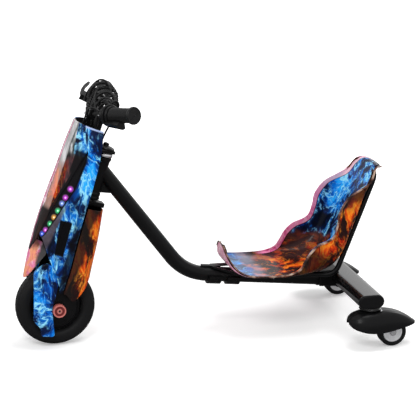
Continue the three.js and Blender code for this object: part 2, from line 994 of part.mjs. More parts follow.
// The room inside the fairing, used to trim whatever bears on the skin from within
function fairingRoom() {
  const sides = spread(-1 + stepShare, 1 - stepShare, 24);
  return loft(spread(fairingLow, skinHigh, 24)
    .map((height) => sides.map((side) => skinInside(side, height, fairingWall + clearance))));
}

// Fork and steerer
function steerer() {
  return discZ(steererRadius, crownLow, upperYokeLow + yokeThickness, roundSides);
}

function yoke(low, high, tongue) {
  const edge = legInner - clearance;
  const legRear = legFront - legWidth;
  const earFront = legRear - clearance;
  const half = [
    [legFront, edge],
    [earFront, edge],
    [earFront, skinHalfWidth],
    [earFront - earDepth, skinHalfWidth],
    [earFront - earDepth, edge],
    [0, yokeNeck],
    [-yokeNeck * Math.SQRT1_2, yokeNeck * Math.SQRT1_2],
    [-yokeNeck - tongue, Math.min(yokeNeck, tongueHalfWidth)],
  ];
  const other = half.slice().reverse().map(([x, y]) => [x, -y]);
  const plate = plateZ(outline([...half, ...other]), low, high, (high - low) / 8);
  const bore = discZ(steererRadius + clearance, low - overrun, high + overrun, roundSides);
  return cut(overlapOf(plate, join(fairingRoom(), rearRoom())), bore);
}

// A block behind the fairing's rear edges, where the yokes stand clear of the skin
function rearRoom() {
  return boxBetween(-tongueReach, -legInner, crownLow, legFront, legInner, legTop);
}

function steererCap() {
  const low = upperYokeLow + yokeThickness + clearance;
  const top = low + 2 * capHeight;
  return turnedZ([
    [0, low],
    [cupRadius, low],
    [cupRadius, low + capHeight / 3],
    [cupRadius - capHeight / 2, low + capHeight - overrun / 2],
    [knobRadius, low + capHeight],
    [knobRadius, top - overrun / 2],
    [knobRadius / 2, top],
    [0, top],
  ], roundSides);
}

function forkLeg() {
  const rear = legFront - legWidth;
  const shape = new THREE.Shape();
  shape.moveTo(rear, legTop);
  shape.lineTo(rear, wheelRadius / 2 + dropoutRadius / 2);
  shape.lineTo(dropoutRadius / 2, dropoutRadius);
  shape.absarc(0, 0, dropoutRadius, Math.PI / 3, (3 * Math.PI) / 2, false);
  shape.lineTo(rear - legWidth / 3, -dropoutRadius);
  shape.lineTo(legFront, wheelRadius / 2);
  shape.lineTo(legFront, legTop);
  shape.closePath();
  const bore = new THREE.Path();
  bore.absarc(0, 0, axleRadius + clearance, 0, 2 * Math.PI, true);
  shape.holes.push(bore);
  return plateY(shape, legInner, legInner + legThickness);
}

const legOuter = legInner + legThickness;

function frontAxle() {
  const end = legOuter + clearance + nutLength;
  const nut = (side) => {
    const hexagon = discY(nutRadius, 0, nutLength, 6);
    hexagon.translate(0, side > 0 ? legOuter + clearance : -legOuter - clearance - nutLength, 0);
    return hexagon;
  };
  const thread = capHeight / 4;
  return join(discY(axleRadius, -end - thread, end + thread, smallSides), nut(1), nut(-1));
}

// The cap's outer face has a raised rim and a raised button
const capRingShares = [0.82, 0.78, 0.34, 0.3];

function axleCap() {
  const low = legOuter + clearance;
  const high = low + axleCapOut;
  const sunk = high - axleCapEdge;
  const hollow = nutRadius + 2 * clearance;
  const hollowTop = low + nutLength + capHeight / 4 + 2 * clearance;
  const rings = capRingShares.map((share, index) => [
    axleCapRadius * share,
    index === 0 ? high : sunk,
  ]);
  return turnedY([
    [hollow, low],
    [axleCapRadius - axleCapEdge, low],
    [axleCapRadius, low + axleCapEdge],
    [axleCapRadius, high - axleCapEdge],
    [axleCapRadius - axleCapEdge / 2, high],
    ...rings,
    [0, sunk],
    [0, hollowTop],
    [hollow, hollowTop],
  ], roundSides);
}

addMesh(steering, 'steerer', steerer(), steel);
addMesh(
  steering,
  'lower_yoke',
  yoke(crownLow, crownHigh, tongueReach - yokeNeck),
  blackPaint,
);
addMesh(steering, 'upper_yoke', yoke(upperYokeLow, upperYokeLow + yokeThickness, 0), blackPaint);
addMesh(steering, 'steerer_cap', steererCap(), blackPlastic);
addMesh(steering, 'fork_leg_left', forkLeg(), blackPaint);
addMesh(steering, 'fork_leg_right', mirroredY(forkLeg()), blackPaint);
addMesh(steering, 'front_axle', frontAxle(), steel);
addMesh(steering, 'axle_cap_left', axleCap(), redPlastic);
addMesh(steering, 'axle_cap_right', mirroredY(axleCap()), redPlastic);

// Stem and handlebar
const barCorner = new THREE.Vector3(stemX, barCornerY, barHeight);
const barEnd = new THREE.Vector3(barEndX, barEndY, barEndZ);

function sided(point, side) {
  return new THREE.Vector3(point.x, side * point.y, point.z);
}

function handlebar(radius) {
  const path = bentPath(
    [barEnd, barCorner, sided(barCorner, -1), sided(barEnd, -1)],
    [barBend, barBend],
  );
  return tubeAlong(path, radius, smallSides, 20);
}

function hollowBar() {
  return cut(handlebar(barRadius), handlebar(barRadius - barWall));
}

// The clamp block's side outline, in shares of its half depth and half height
const clampShares = [
  [-2, -1],
  [0.5, -1],
  [1, -0.5],
  [1, 0.5],
  [0.5, 1],
  [-1, 1],
  [-2, 0],
];

function stem() {
  const post = discZ(
    stemRadius,
    upperYokeLow + yokeThickness + clearance,
    barHeight - clampHalfHeight / 2,
    roundSides,
  );
  post.translate(stemX - clampHalfDepth, 0, 0);
  const points = placed(clampShares, clampHalfDepth, clampHalfHeight, stemX, barHeight);
  const block = plateY(
    outline(points),
    -clampHalfWidth,
    clampHalfWidth,
    clampHalfHeight / 8,
  );
  return cut(join(post, block), handlebar(barRadius + clearance));
}

addMesh(steering, 'stem', stem(), blackPaint);
addMesh(steering, 'handlebar', hollowBar(), blackPaint);

// Directions of a bar end: outward along the bar, forward, and up on the right (down on the left)
function barDirections(side) {
  const outward = sided(barEnd, side).sub(sided(barCorner, side)).normalize();
  const forward = new THREE.Vector3(1, 0, 0).addScaledVector(outward, -outward.x).normalize();
  return { outward, forward, third: outward.clone().cross(forward) };
}

function barEndGroup(side) {
  const { outward, forward, third } = barDirections(side);
  const group = new THREE.Group();
  group.position.copy(sided(barEnd, side));
  group.quaternion.setFromRotationMatrix(new THREE.Matrix4().makeBasis(forward, third, outward));
  steering.add(group);
  return group;
}
const leftEnd = barEndGroup(1);
const rightEnd = barEndGroup(-1);

const gripBore = barRadius + clearance;

function grip() {
  const lip = gripFlangeRadius - gripRadius;
  return turnedZ([
    [gripBore, -gripLength],
    [gripRadius + lip / 2, -gripLength],
    [gripRadius + lip / 3, -gripLength + lip],
    [gripRadius, -gripLength / 2],
    [gripRadius, -lip],
    [gripFlangeRadius, -gripEndWall],
    [gripFlangeRadius, gripEndWall / 2],
    [gripFlangeRadius - gripEndWall / 2, gripEndWall],
    [0, gripEndWall],
    [0, clearance],
    [gripBore, clearance],
  ], 16);
}

// Thumb throttle: a drum on the bar, with a paddle that swings round the bar
const hubStart = gripLength + runningGap;
const drumStart = hubStart + throttleHubLength + runningGap;
const arcSteps = 4;

// The outline of a piece of a ring, between two radii
function arcOutline(inner, outer, middleAngle, halfAngle) {
  const points = [];
  for (let step = 0; step <= arcSteps; step += 1) {
    const angle = middleAngle + halfAngle * (-1 + (2 * step) / arcSteps);
    points.push([outer * Math.cos(angle), outer * Math.sin(angle)]);
  }
  for (let step = arcSteps; step >= 0; step -= 1) {
    const angle = middleAngle + halfAngle * (-1 + (2 * step) / arcSteps);
    points.push([inner * Math.cos(angle), inner * Math.sin(angle)]);
  }
  return outline(points);
}

function throttleLever() {
  const low = -hubStart - throttleHubLength;
  const hub = turnedZ([
    [barRadius + runningGap, low],
    [throttleHubRadius, low],
    [throttleHubRadius, -hubStart],
    [barRadius + runningGap, -hubStart],
  ], 16);
  const shape = arcOutline(paddleInner, paddleOuter, Math.PI / 2, paddleHalfAngle);
  return join(hub, plateZ(shape, low, low + paddleLength, (paddleOuter - paddleInner) / 6));
}

// The drum's section, in shares of its radius and length from the inboard end
const drumShares = [
  [0.7, 0],
  [0.86, 0.17],
  [0.9, 0.5],
  [1, 0.67],
  [1, 0.92],
  [0.93, 1],
];

function throttleHousing() {
  const low = -drumStart - throttleDrumLength;
  return turnedZ([
    [gripBore, low],
    ...placed(drumShares, throttleDrumRadius, throttleDrumLength, 0, low),
    [gripBore, -drumStart],
  ], roundSides);
}

// Brake: a perch clamped on the bar, and a lever that pivots in front of it
const perchStart = gripLength + runningGap;
const perchEnd = perchStart + perchLength;
const pivotAlong = -(perchStart + perchEnd) / 2;

function brakePerch() {
  const ring = turnedZ([
    [gripBore, -perchEnd],
    [perchRadius, -perchEnd],
    [perchRadius, -perchStart],
    [gripBore, -perchStart],
  ], 16);
  const front = pivotForward + pivotBoss;
  const arm = boxBetween(
    gripBore,
    -leverThickness,
    -perchEnd,
    front,
    leverThickness,
    -perchStart,
  );
  const gap = leverThickness / 2 + runningGap;
  const slot = boxBetween(
    perchRadius + clearance,
    -gap,
    -perchEnd + perchWall,
    front + overrun,
    gap,
    overrun,
  );
  const bar = discZ(gripBore, -perchEnd - overrun, overrun, 16);
  const pin = discY(pivotRadius, -leverThickness, leverThickness, smallSides);
  pin.translate(pivotForward, 0, pivotAlong);
  return join(cut(join(ring, arm), slot, bar), pin);
}

// The lever's outline, in shares of its pivot boss and reach, from the pivot outward
const leverShares = [
  [-0.8, -0.03],
  [-0.3, -0.07],
  [0.5, -0.07],
  [0.9, -0.02],
  [1.7, 0.12],
  [2.1, 0.35],
  [2, 0.65],
  [1.4, 0.97],
  [1, 1],
  [0.5, 0.98],
  [0.9, 0.65],
  [0.9, 0.38],
  [0.4, 0.2],
  [-0.7, 0.07],
];

function brakeLever() {
  const shape = outline(placed(leverShares, pivotBoss, leverReach, pivotForward, pivotAlong));
  const bore = new THREE.Path();
  bore.absarc(pivotForward, pivotAlong, pivotRadius + runningGap, 0, 2 * Math.PI, true);
  shape.holes.push(bore);
  return plateY(shape, -leverThickness / 2, leverThickness / 2);
}

function bell() {
  const low = -bellDistance - bellRingLength;
  const middle = low + bellRingLength / 2;
  const ring = turnedZ([
    [gripBore, low],
    [gripBore + bellStalk, low],
    [gripBore + bellStalk, low + bellRingLength],
    [gripBore, low + bellRingLength],
  ], 16);
  const dome = [[0, 0]];
  for (let step = 0; step <= 4; step += 1) {
    const angle = (Math.PI / 2) * (step / 4);
    dome.push([bellRadius * Math.cos(angle), bellHeight * Math.sin(angle)]);
  }
  const cover = turnedZ(dome, 16);
  cover.rotateX(Math.PI / 2);
  cover.translate(0, -bellLift, middle);
  const stalk = discY(bellStalk, -bellLift - overrun, -gripBore - clearance, 8);
  stalk.translate(0, 0, middle);
  return join(ring, stalk, cover);
}

addMesh(leftEnd, 'grip_left', grip(), rubber);
addMesh(rightEnd, 'grip_right', grip(), rubber);
addMesh(leftEnd, 'throttle_lever', throttleLever(), blackPlastic);
addMesh(leftEnd, 'throttle_housing', throttleHousing(), blackPlastic);
addMesh(rightEnd, 'brake_perch', brakePerch(), blackPlastic);
addMesh(rightEnd, 'brake_lever', brakeLever(), steel);
addMesh(leftEnd, 'bell', bell(), blackPlastic);

// Cables: each leaves its control, loops over the bar and goes down behind the fairing.
// The loops' places are shares of the bar's height: forward, left and up the axis
const throttleLoopShares = [
  [0.14, 0.085, 1.046],
  [0.146, 0.046, 1.1],
  [0.131, 0, 1.138],
  [0.135, -0.037, 1.131],
  [0.162, -0.035, 1.081],
  [0.175, -0.013, 1.012],
  [0.169, -0.012, 0.946],
  [0.16, -0.012, 0.888],
];
const brakeLoopShares = [
  [0.163, -0.096, 1.058],
  [0.169, -0.058, 1.119],
  [0.146, -0.012, 1.181],
  [0.104, 0.027, 1.177],
  [0.065, 0.048, 1.123],
  [0.035, 0.05, 1.054],
  [0.029, 0.05, 0.985],
  [0.037, 0.046, 0.919],
];
const batteryTop = crownHigh + clearance + batteryHeight;
const yokeTop = upperYokeLow + yokeThickness;
const throttleEndShare = 0.158;
const brakeEndShare = 0.0438;

function alongBar(side, distance, ahead) {
  const { outward, forward } = barDirections(side);
  return sided(barEnd, side).addScaledVector(outward, -distance).addScaledVector(forward, ahead);
}

function cable(side, start, ahead, loopShares, endX, endY, endZ) {
  const route = [
    alongBar(side, start + clearance, ahead),
    alongBar(side, start + clearance + cableStraight, ahead),
    ...loopShares.map(([x, y, z]) => new THREE.Vector3(x, y, z).multiplyScalar(barHeight)),
    new THREE.Vector3(endX, endY, endZ + cableStraight),
    new THREE.Vector3(endX, endY, endZ + clearance),
  ];
  return tubeAlong(new THREE.CatmullRomCurve3(route), cableRadius, 6, 28);
}

addMesh(steering, 'throttle_cable', cable(
  1,
  drumStart + throttleDrumLength,
  (gripBore + throttleHubRadius) / 2,
  throttleLoopShares,
  barHeight * throttleEndShare,
  0,
  batteryTop,
), rubber);
addMesh(steering, 'brake_cable', cable(
  -1,
  perchEnd,
  pivotForward - pivotBoss,
  brakeLoopShares,
  barHeight * brakeEndShare,
  barHeight * brakeEndShare,
  yokeTop,
), rubber);

// Fairing: the skin is split into a front shield, two sides and two light strips.
// Where the light channel runs: share of the height, then side share
const channelShares = [
  [0.2, 0.05],
  [0.339, 0.36],
  [0.63, 0.64],
  [0.861, 0.77],
  [1, 0.54],
];
// Half the light channel's width in side shares, at shares of the strip's run from its low end
const channelHalfShares = [
  [0, 0.06],
  [0.25, 0.085],
  [0.6, 0.075],
  [1, 0.02],
];
const seamHalfShare = 0.002;

function channelAt(height) {
  return alongTable(channelShares, skinShare(height), 1);
}

function channelHalfAt(height) {
  const run = (height - stripLow) / (stripHigh - stripLow);
  return alongTable(channelHalfShares, Math.min(Math.max(run, 0), 1), 1);
}

// Half the opening between the shield and the side: wide along the strip, a seam beyond it
function openingAt(height) {
  const beyond = Math.max(height - stripHigh, stripLow - height, 0) / stripRamp;
  return Math.max(channelHalfAt(height) * (1 - beyond), 0) + seamHalfShare;
}

const stripHeights = spread(stripLow, stripHigh, 10);
const upperHeights = [stripHigh + stripRamp, (stripHigh + stripRamp + skinHigh) / 2, skinHigh];

function frontShield() {
  const edge = (height) => channelAt(height) - openingAt(height);
  const heights = [
    ...spread(shieldLow, stripLow - stripRamp, 3),
    ...stripHeights,
    ...upperHeights,
  ];
  return skinSheet(heights, (height) => -edge(height), edge, 8, 0, fairingWall);
}

// The side's front edge below the light strip: share of the height, then side share
const sideFrontShares = [
  [0, 0.97],
  [0.065, 0.95],
  [0.152, 0.82],
  [0.213, 0.66],
  [0.261, 0.55],
  [0.322, 0.373],
];

function sideShell() {
  const front = (height) => (height < stripLow
    ? alongTable(sideFrontShares, skinShare(height), 1)
    : channelAt(height) + openingAt(height));
  const heights = [
    ...spread(fairingLow, stripLow - stripRamp, 5),
    ...stripHeights,
    ...upperHeights,
  ];
  return skinSheet(heights, front, () => 1 - stepShare, 5, 0, fairingWall);
}

function lightStrip() {
  const inner = (height) => channelAt(height) - channelHalfAt(height) + seamHalfShare;
  const outer = (height) => channelAt(height) + channelHalfAt(height) - seamHalfShare;
  const heights = stripHeights.map((height) => Math.min(
    Math.max(height, stripLow + clearance),
    stripHigh - clearance,
  ));
  return skinSheet(heights, inner, outer, 2, stripRecess, fairingWall);
}

// Nose guard: closes the front between the shield's tip and the tyre
const guardSideShare = 0.58;
const guardTipShare = 0.2;

// Where the side's front edge stands at a side share, below the light strip
function sideFrontHeight(side) {
  const falling = sideFrontShares.map(([share, at]) => [-at, share]);
  const share = alongTable(falling, -side, 1);
  return skinLow + share * (skinHigh - skinLow);
}

function noseGuard() {
  const rows = 6;
  const columns = 14;
  const grid = (depth) => spread(0, 1, rows).map((rowShare) => (
    spread(-guardSideShare, guardSideShare, columns).map((side) => {
      const away = Math.abs(side);
      const tip = skinLow + guardTipShare * (skinHigh - skinLow);
      const run = (away - channelShares[0][1]) / (channelShares[1][1] - channelShares[0][1]);
      const rise = (channelShares[1][0] - channelShares[0][0]) * (skinHigh - skinLow);
      const seam = tip + rise * Math.max(run, 0);
      const edge = sideFrontHeight(Math.max(away, sideFrontShares[sideFrontShares.length - 1][1]));
      const high = Math.min(Math.max(seam, shieldLow) - guardSeam, guardHigh, edge - 2 * guardSeam);
      const low = guardLow + guardLift * (away / guardSideShare) ** 2;
      return skinInside(side, low + (high - low) * rowShare, depth);
    })
  ));
  return thickSheet(grid(0), grid(fairingWall));
}

addMesh(steering, 'front_shield', frontShield(), pinkPrint);
addMesh(steering, 'side_shell_left', sideShell(), bluePrint);
addMesh(steering, 'side_shell_right', mirroredY(sideShell()), bluePrint);
addMesh(steering, 'light_strip_left', lightStrip(), lightStripFinish);
addMesh(steering, 'light_strip_right', mirroredY(lightStrip()), lightStripFinish);
addMesh(steering, 'nose_guard', noseGuard(), smokePlastic);

// Leg cover: a hollow moulding over each fork leg's lower end, in shares of its reach and rise
const legCoverShares = [
  [1.04, 0.636],
  [0.6, -0.348],
  [0.34, -0.455],
  [0.272, -0.606],
  [-0.12, -0.545],
  [0.1, -0.18],
  [0.215, 0],
  [0.205, 0.152],
  [0.24, 0.5],
  [0.4, 0.82],
  [0.56, 0.85],
  [0.8, 0.86],
];

// Moves every corner of an outline listed clockwise inward, along the middle of its two sides
function insetPoints(points, distance) {
  return points.map((point, index) => {
    const before = points[(index + points.length - 1) % points.length];
    const after = points[(index + 1) % points.length];
    const arrive = new THREE.Vector2(point[0] - before[0], point[1] - before[1]).normalize();
    const leave = new THREE.Vector2(after[0] - point[0], after[1] - point[1]).normalize();
    const inward = new THREE.Vector2(arrive.y + leave.y, -arrive.x - leave.x).normalize();
    const square = Math.max(Math.abs(inward.x * arrive.y - inward.y * arrive.x), 1 / 2);
    return [point[0] + (inward.x * distance) / square, point[1] + (inward.y * distance) / square];
  });
}

function legCover() {
  const points = placed(legCoverShares, legCoverReach, legCoverRise);
  const low = legOuter + clearance;
  const high = low + legCoverThickness;
  const pocket = plateY(
    outline(insetPoints(points, legCoverWall)),
    low - overrun,
    high - legCoverWall,
  );
  return cut(plateY(outline(points), low, high, legCoverWall), pocket);
}

// Rear cover: wraps the back of the fork above the wheel, with a flap down each side.
// Each row: share of the skin's height, then the back, the front edge and the half width
const rearCoverShares = [
  [0, 0.91, 0.04, 0.78],
  [0.078, 1, 0.05, 0.79],
  [0.183, 0.91, 0.06, 0.83],
  [0.391, 0.76, 0.16, 0.91],
  [0.554, 0.58, 0.2, 0.945],
];
const rearCoverDropShares = [
  [0, 1],
  [0.3, 1],
  [0.5, 0.67],
  [0.72, 0.33],
  [1, 0.48],
];
const rearBackPowerShare = 0.75;
const rearSidePowerShare = 0.7;

function rearCover() {
  const high = crownLow - rearCoverGap;
  const grid = spread(0, 1, 7).map((rowShare) => spread(-1, 1, 14).map((side) => {
    const low = rearCoverDrop * alongTable(rearCoverDropShares, Math.abs(side), 1);
    const height = low + (high - low) * rowShare;
    const at = skinShare(height);
    const back = -rearCoverReach * alongTable(rearCoverShares, at, 1);
    const front = rearCoverReach * alongTable(rearCoverShares, at, 2);
    const halfWidth = skinHalfWidth * alongTable(rearCoverShares, at, 3);
    const angle = Math.abs(side) * (Math.PI / 2);
    return new THREE.Vector3(
      front - (front - back) * Math.max(Math.cos(angle), 0) ** rearBackPowerShare,
      Math.sign(side) * halfWidth * Math.sin(angle) ** rearSidePowerShare,
      height,
    );
  }));
  return thickSheet(grid, offsetGrid(grid, fairingWall));
}

addMesh(steering, 'leg_cover_left', legCover(), bluePrint);
addMesh(steering, 'leg_cover_right', mirroredY(legCover()), bluePrint);
addMesh(steering, 'rear_cover', rearCover(), orangePrint);

function batteryPack() {
  const edge = legInner - clearance;
  const shape = outline([
    [batteryRear, -edge],
    [batteryFront - batteryChamfer, -edge],
    [batteryFront, -edge + batteryChamfer],
    [batteryFront, edge - batteryChamfer],
    [batteryFront - batteryChamfer, edge],
    [batteryRear, edge],
  ]);
  return plateZ(shape, crownHigh + clearance, batteryTop, batteryChamfer / 4);
}

function motorController() {
  const high = crownLow - clearance;
  const low = high - controllerHeight;
  const body = boxBetween(
    controllerRear,
    -controllerHalfWidth,
    low,
    controllerFront,
    controllerHalfWidth,
    high,
  );
  const pitch = (2 * controllerHalfWidth - ribThickness) / (ribCount - 1);
  const ribs = [];
  for (let rib = 0; rib < ribCount; rib += 1) {
    const start = -controllerHalfWidth + rib * pitch;
    ribs.push(boxBetween(
      controllerFront - ribThickness,
      start,
      low,
      controllerFront + ribDepth,
      start + ribThickness,
      high - ribDepth,
    ));
  }
  return join(body, ...ribs);
}

addMesh(steering, 'battery_pack', batteryPack(), batteryFinish);
addMesh(steering, 'motor_controller', motorController(), steel);

// Front wheel: sections in shares of the tyre's depth and half width, from the rim outward
const tyreShares = [
  [0.08, 0.76],
  [0.3, 0.95],
  [0.52, 1],
  [0.74, 0.93],
  [0.95, 0.6],
  [0.91, 0.57],
  [0.91, 0.5],
  [0.98, 0.46],
  [1, 0.12],
  [0.95, 0.08],
];
const tyreSeatShare = 0.66;

function bothSides(side) {
  return [...side, ...side.slice().reverse().map(([radius, across]) => [radius, -across])];
}

function frontTyre() {
  const half = tyreWidth / 2;
  const inner = rimRadius + clearance;
  return turnedY(bothSides([
    [inner, half * tyreSeatShare],
    ...placed(tyreShares, wheelRadius - inner, half, inner, 0),
  ]), wheelSides);
}

// The motor's cover steps down toward the rim: shares of the rim's radius and half width
const hubShares = [
  [0.38, 1],
  [0.82, 0.87],
  [0.89, 0.68],
  [1, 0.6],
];

function hubMotor() {
  return turnedY(bothSides([
    [axleRadius + runningGap, hubBossHalfWidth],
    [hubBossRadius, hubBossHalfWidth],
    ...placed(hubShares, rimRadius, hubHalfWidth),
  ]), wheelSides);
}

const frontWheel = new THREE.Group();
steering.add(frontWheel);
addMesh(frontWheel, 'front_tyre', frontTyre(), rubber);
addMesh(frontWheel, 'hub_motor', hubMotor(), blackPaint);

// Each row: share of the tail's reach, of the half width, of the deck height below and above
const housingShares = [
  [0.488, 0.2, 0.656, 0.763],
  [0.432, 0.6, 0.589, 0.84],
  [0.304, 0.89, 0.531, 0.927],
  [0.096, 1, 0.473, 0.985],
  [-0.144, 0.978, 0.454, 1],
  [-0.384, 0.867, 0.473, 0.975],
  [-0.608, 0.756, 0.512, 0.902],
  [-0.816, 0.6, 0.55, 0.772],
  [-0.952, 0.356, 0.57, 0.656],
  [-1, 0.133, 0.589, 0.613],
];
const archSides = 8;
const archWidthPowerShare = 0.8;
const archHeightPowerShare = 0.75;

function archRing(x, halfWidth, low, high) {
  const ring = [];
  for (let step = 0; step <= archSides; step += 1) {
    const angle = (Math.PI * step) / archSides;
    const cosine = Math.cos(angle);
    const sine = Math.max(Math.sin(angle), 0);
    ring.push(new THREE.Vector3(
      x,
      Math.sign(cosine) * halfWidth * Math.abs(cosine) ** archWidthPowerShare,
      low + (high - low) * sine ** archHeightPowerShare,
    ));
  }
  return ring;
}

const casterWheelHalf = casterTyreWidth / 2;
const armInside = casterWheelHalf + runningGap;
const armOutside = armInside + armThickness;
// The arm's foot, in shares of the caster's radius from the wheel's axle
const armFootShares = [
  [-0.35, -0.1],
  [-0.22, -0.32],
  [0.22, -0.32],
  [0.38, -0.08],
];
// Its head, in shares of the caster's radius and of the rise from the axle to the deck
const armHeadShares = [
  [0.9, 0.885],
  [-0.32, 0.823],
];

function casterHousing() {
  const stations = housingShares.map(([along, wide, below, above]) => [
    along * tailReach,
    wide * housingHalfWidth,
    below * deckHeight,
    above * deckHeight,
  ]);
  const outer = loft(stations.map((station) => archRing(...station)));
  const inner = loft(stations.slice(1, -1).map(([x, halfWidth, low, high]) => archRing(
    x - Math.sign(x) * housingWall,
    Math.max(halfWidth - housingWall, housingWall),
    low - 2 * overrun,
    high - housingWall,
  )));
  const boss = discZ(
    pinHeadRadius + housingWall,
    deckHeight - bossDepth,
    deckHeight - housingWall / 2,
    roundSides,
  );
  const rise = deckHeight - casterRadius;
  const arm = plateY(outline([
    ...placed(armFootShares, casterRadius, casterRadius, -casterTrail, casterRadius),
    ...placed(armHeadShares, casterRadius, rise, -casterTrail, casterRadius),
  ]), -armOutside, -armInside);
  const bore = discZ(pinRadius + runningGap, 0, deckHeight + overrun, smallSides);
  const axleBore = discY(casterAxleRadius + clearance, -armOutside - overrun, overrun, smallSides);
  axleBore.translate(-casterTrail, 0, casterRadius);
  return cut(join(cut(outer, inner), boss, arm), bore, axleBore);
}

function casterPin() {
  const beamUnder = wheelRadius + beamZ - beamHeight / 2 - clearance;
  const headTop = deckHeight - bossDepth - runningGap;
  const edge = pinHeadHeight / 4;
  return turnedZ([
    [0, headTop - pinHeadHeight],
    [pinHeadRadius - edge, headTop - pinHeadHeight],
    [pinHeadRadius, headTop - pinHeadHeight + edge],
    [pinHeadRadius, headTop],
    [pinRadius, headTop],
    [pinRadius, deckHeight + runningGap],
    [pinFlangeRadius, deckHeight + runningGap],
    [pinFlangeRadius, beamUnder],
    [0, beamUnder],
  ], roundSides);
}

function casterAxle() {
  const inboard = -armOutside - clearance - casterNutLength;
  const outboard = casterWheelHalf + runningGap + casterNutLength;
  const bolt = discY(casterAxleRadius, inboard - clearance, outboard - clearance, smallSides);
  const head = discY(casterNutRadius, outboard - casterNutLength, outboard, 6);
  const nut = discY(casterNutRadius, inboard, inboard + casterNutLength, 6);
  const axle = join(bolt, head, nut);
  axle.translate(-casterTrail, 0, casterRadius);
  return axle;
}

function casterTyre() {
  const half = casterWheelHalf;
  const side = [
    [casterRimRadius + clearance, half - casterTreadGroove],
    [casterRimRadius + 2 * casterTreadGroove, half],
    [casterRadius - casterTreadGroove, half - casterTreadGroove / 2],
    [casterRadius, half - 2 * casterTreadGroove],
    [casterRadius, casterTreadGroove],
    [casterRadius - casterTreadGroove, casterTreadGroove / 2],
  ];
  const tyre = turnedY(bothSides(side), casterSides);
  tyre.translate(-casterTrail, 0, casterRadius);
  return tyre;
}

// The hub's dished face, in shares of its radius and half width
const casterHubShares = [
  [0.38, 0.94],
  [0.46, 0.72],
  [0.76, 0.8],
  [0.84, 0.94],
  [1, 0.84],
];

function casterHub() {
  const bore = casterAxleRadius + runningGap;
  const low = -casterWheelHalf + casterTreadGroove;
  const hub = turnedY([
    [bore, casterWheelHalf * casterHubShares[0][1]],
    ...placed(casterHubShares, casterRimRadius, casterWheelHalf),
    [casterRimRadius, low],
    [bore, low],
  ], casterSides);
  hub.translate(-casterTrail, 0, casterRadius);
  return hub;
}

for (const [name, side] of [['left', 1], ['right', -1]]) {
  const caster = new THREE.Group();
  caster.position.set(casterAxisX, side * casterAxisY, -wheelRadius);
  chassis.add(caster);
  const turned = (geometry) => (side > 0 ? geometry : mirroredY(geometry));
  addMesh(caster, `caster_pin_${name}`, turned(casterPin()), steel);
  addMesh(caster, `caster_housing_${name}`, turned(casterHousing()), blackPlastic);
  addMesh(caster, `caster_axle_${name}`, turned(casterAxle()), steel);
  addMesh(caster, `caster_tyre_${name}`, turned(casterTyre()), rubber);
  addMesh(caster, `caster_hub_${name}`, turned(casterHub()), whitePlastic);
}

// The footprint runs from the front tyre to the casters' tails
const rearmost = casterAxisX - tailReach;
chassis.position.x = -(wheelRadius + rearmost) / 2;

export default scooter;
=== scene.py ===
import json
import math
from itertools import accumulate

import bmesh
import bpy
from mathutils import Matrix, Vector


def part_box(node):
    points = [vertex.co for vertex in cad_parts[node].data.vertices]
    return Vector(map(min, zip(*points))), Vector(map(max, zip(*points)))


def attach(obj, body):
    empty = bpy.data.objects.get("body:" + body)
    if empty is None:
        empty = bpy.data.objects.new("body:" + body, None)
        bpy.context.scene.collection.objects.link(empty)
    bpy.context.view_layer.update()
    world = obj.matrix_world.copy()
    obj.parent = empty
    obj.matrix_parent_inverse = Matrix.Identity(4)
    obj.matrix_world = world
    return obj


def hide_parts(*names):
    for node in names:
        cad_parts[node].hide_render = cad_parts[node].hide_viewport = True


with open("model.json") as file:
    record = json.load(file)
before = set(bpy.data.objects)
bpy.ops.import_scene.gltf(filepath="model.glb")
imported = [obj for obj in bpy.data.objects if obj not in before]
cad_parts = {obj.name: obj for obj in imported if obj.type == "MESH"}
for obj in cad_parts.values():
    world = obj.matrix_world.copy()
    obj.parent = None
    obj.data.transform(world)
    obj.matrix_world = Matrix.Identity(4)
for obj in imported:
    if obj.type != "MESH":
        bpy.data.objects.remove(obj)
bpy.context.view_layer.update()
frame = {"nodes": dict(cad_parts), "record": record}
nodes = frame["nodes"]
record = frame["record"]
body_of_node = {
    node: body for body, members in record["behaviour"]["bodies"].items() for node in members
}
slot_of_node = {row["node"]: row["material_slot"] for row in record["subparts"]}
scene = bpy.context.scene

MM = 0.001
LEAN = math.radians(18)


def turned(angle, axis):
    return Matrix.Rotation(angle, 4, axis)


def at(x, y, z, matrix=Matrix.Identity(4)):
    return Matrix.Translation((x, y, z)) @ matrix


def linked(name, data):
    made = bpy.data.objects.new(name, data)
    scene.collection.objects.link(made)
    return made


# The camera stands at the photograph's view of the scooter's left side
PHOTO_WIDTH, FOCAL_PIXELS, SENSOR = 420, 2252.3, 36.0
CAMERA_PLACE = (1.5426, 5.5287, 1.9716)
CAMERA_YAW, CAMERA_PITCH, CAMERA_ROLL = math.radians(15.7), math.radians(15.9), math.radians(0.7)
lens = bpy.data.cameras.new("camera")
lens.sensor_width = SENSOR
lens.lens = SENSOR * FOCAL_PIXELS / PHOTO_WIDTH
lens.clip_end = 50
scene.camera = linked("camera", lens)
scene.camera.matrix_world = (
    at(*CAMERA_PLACE) @ turned(math.pi - CAMERA_YAW, "Z")
    @ turned(math.pi / 2 - CAMERA_PITCH, "X") @ turned(CAMERA_ROLL, "Z")
)


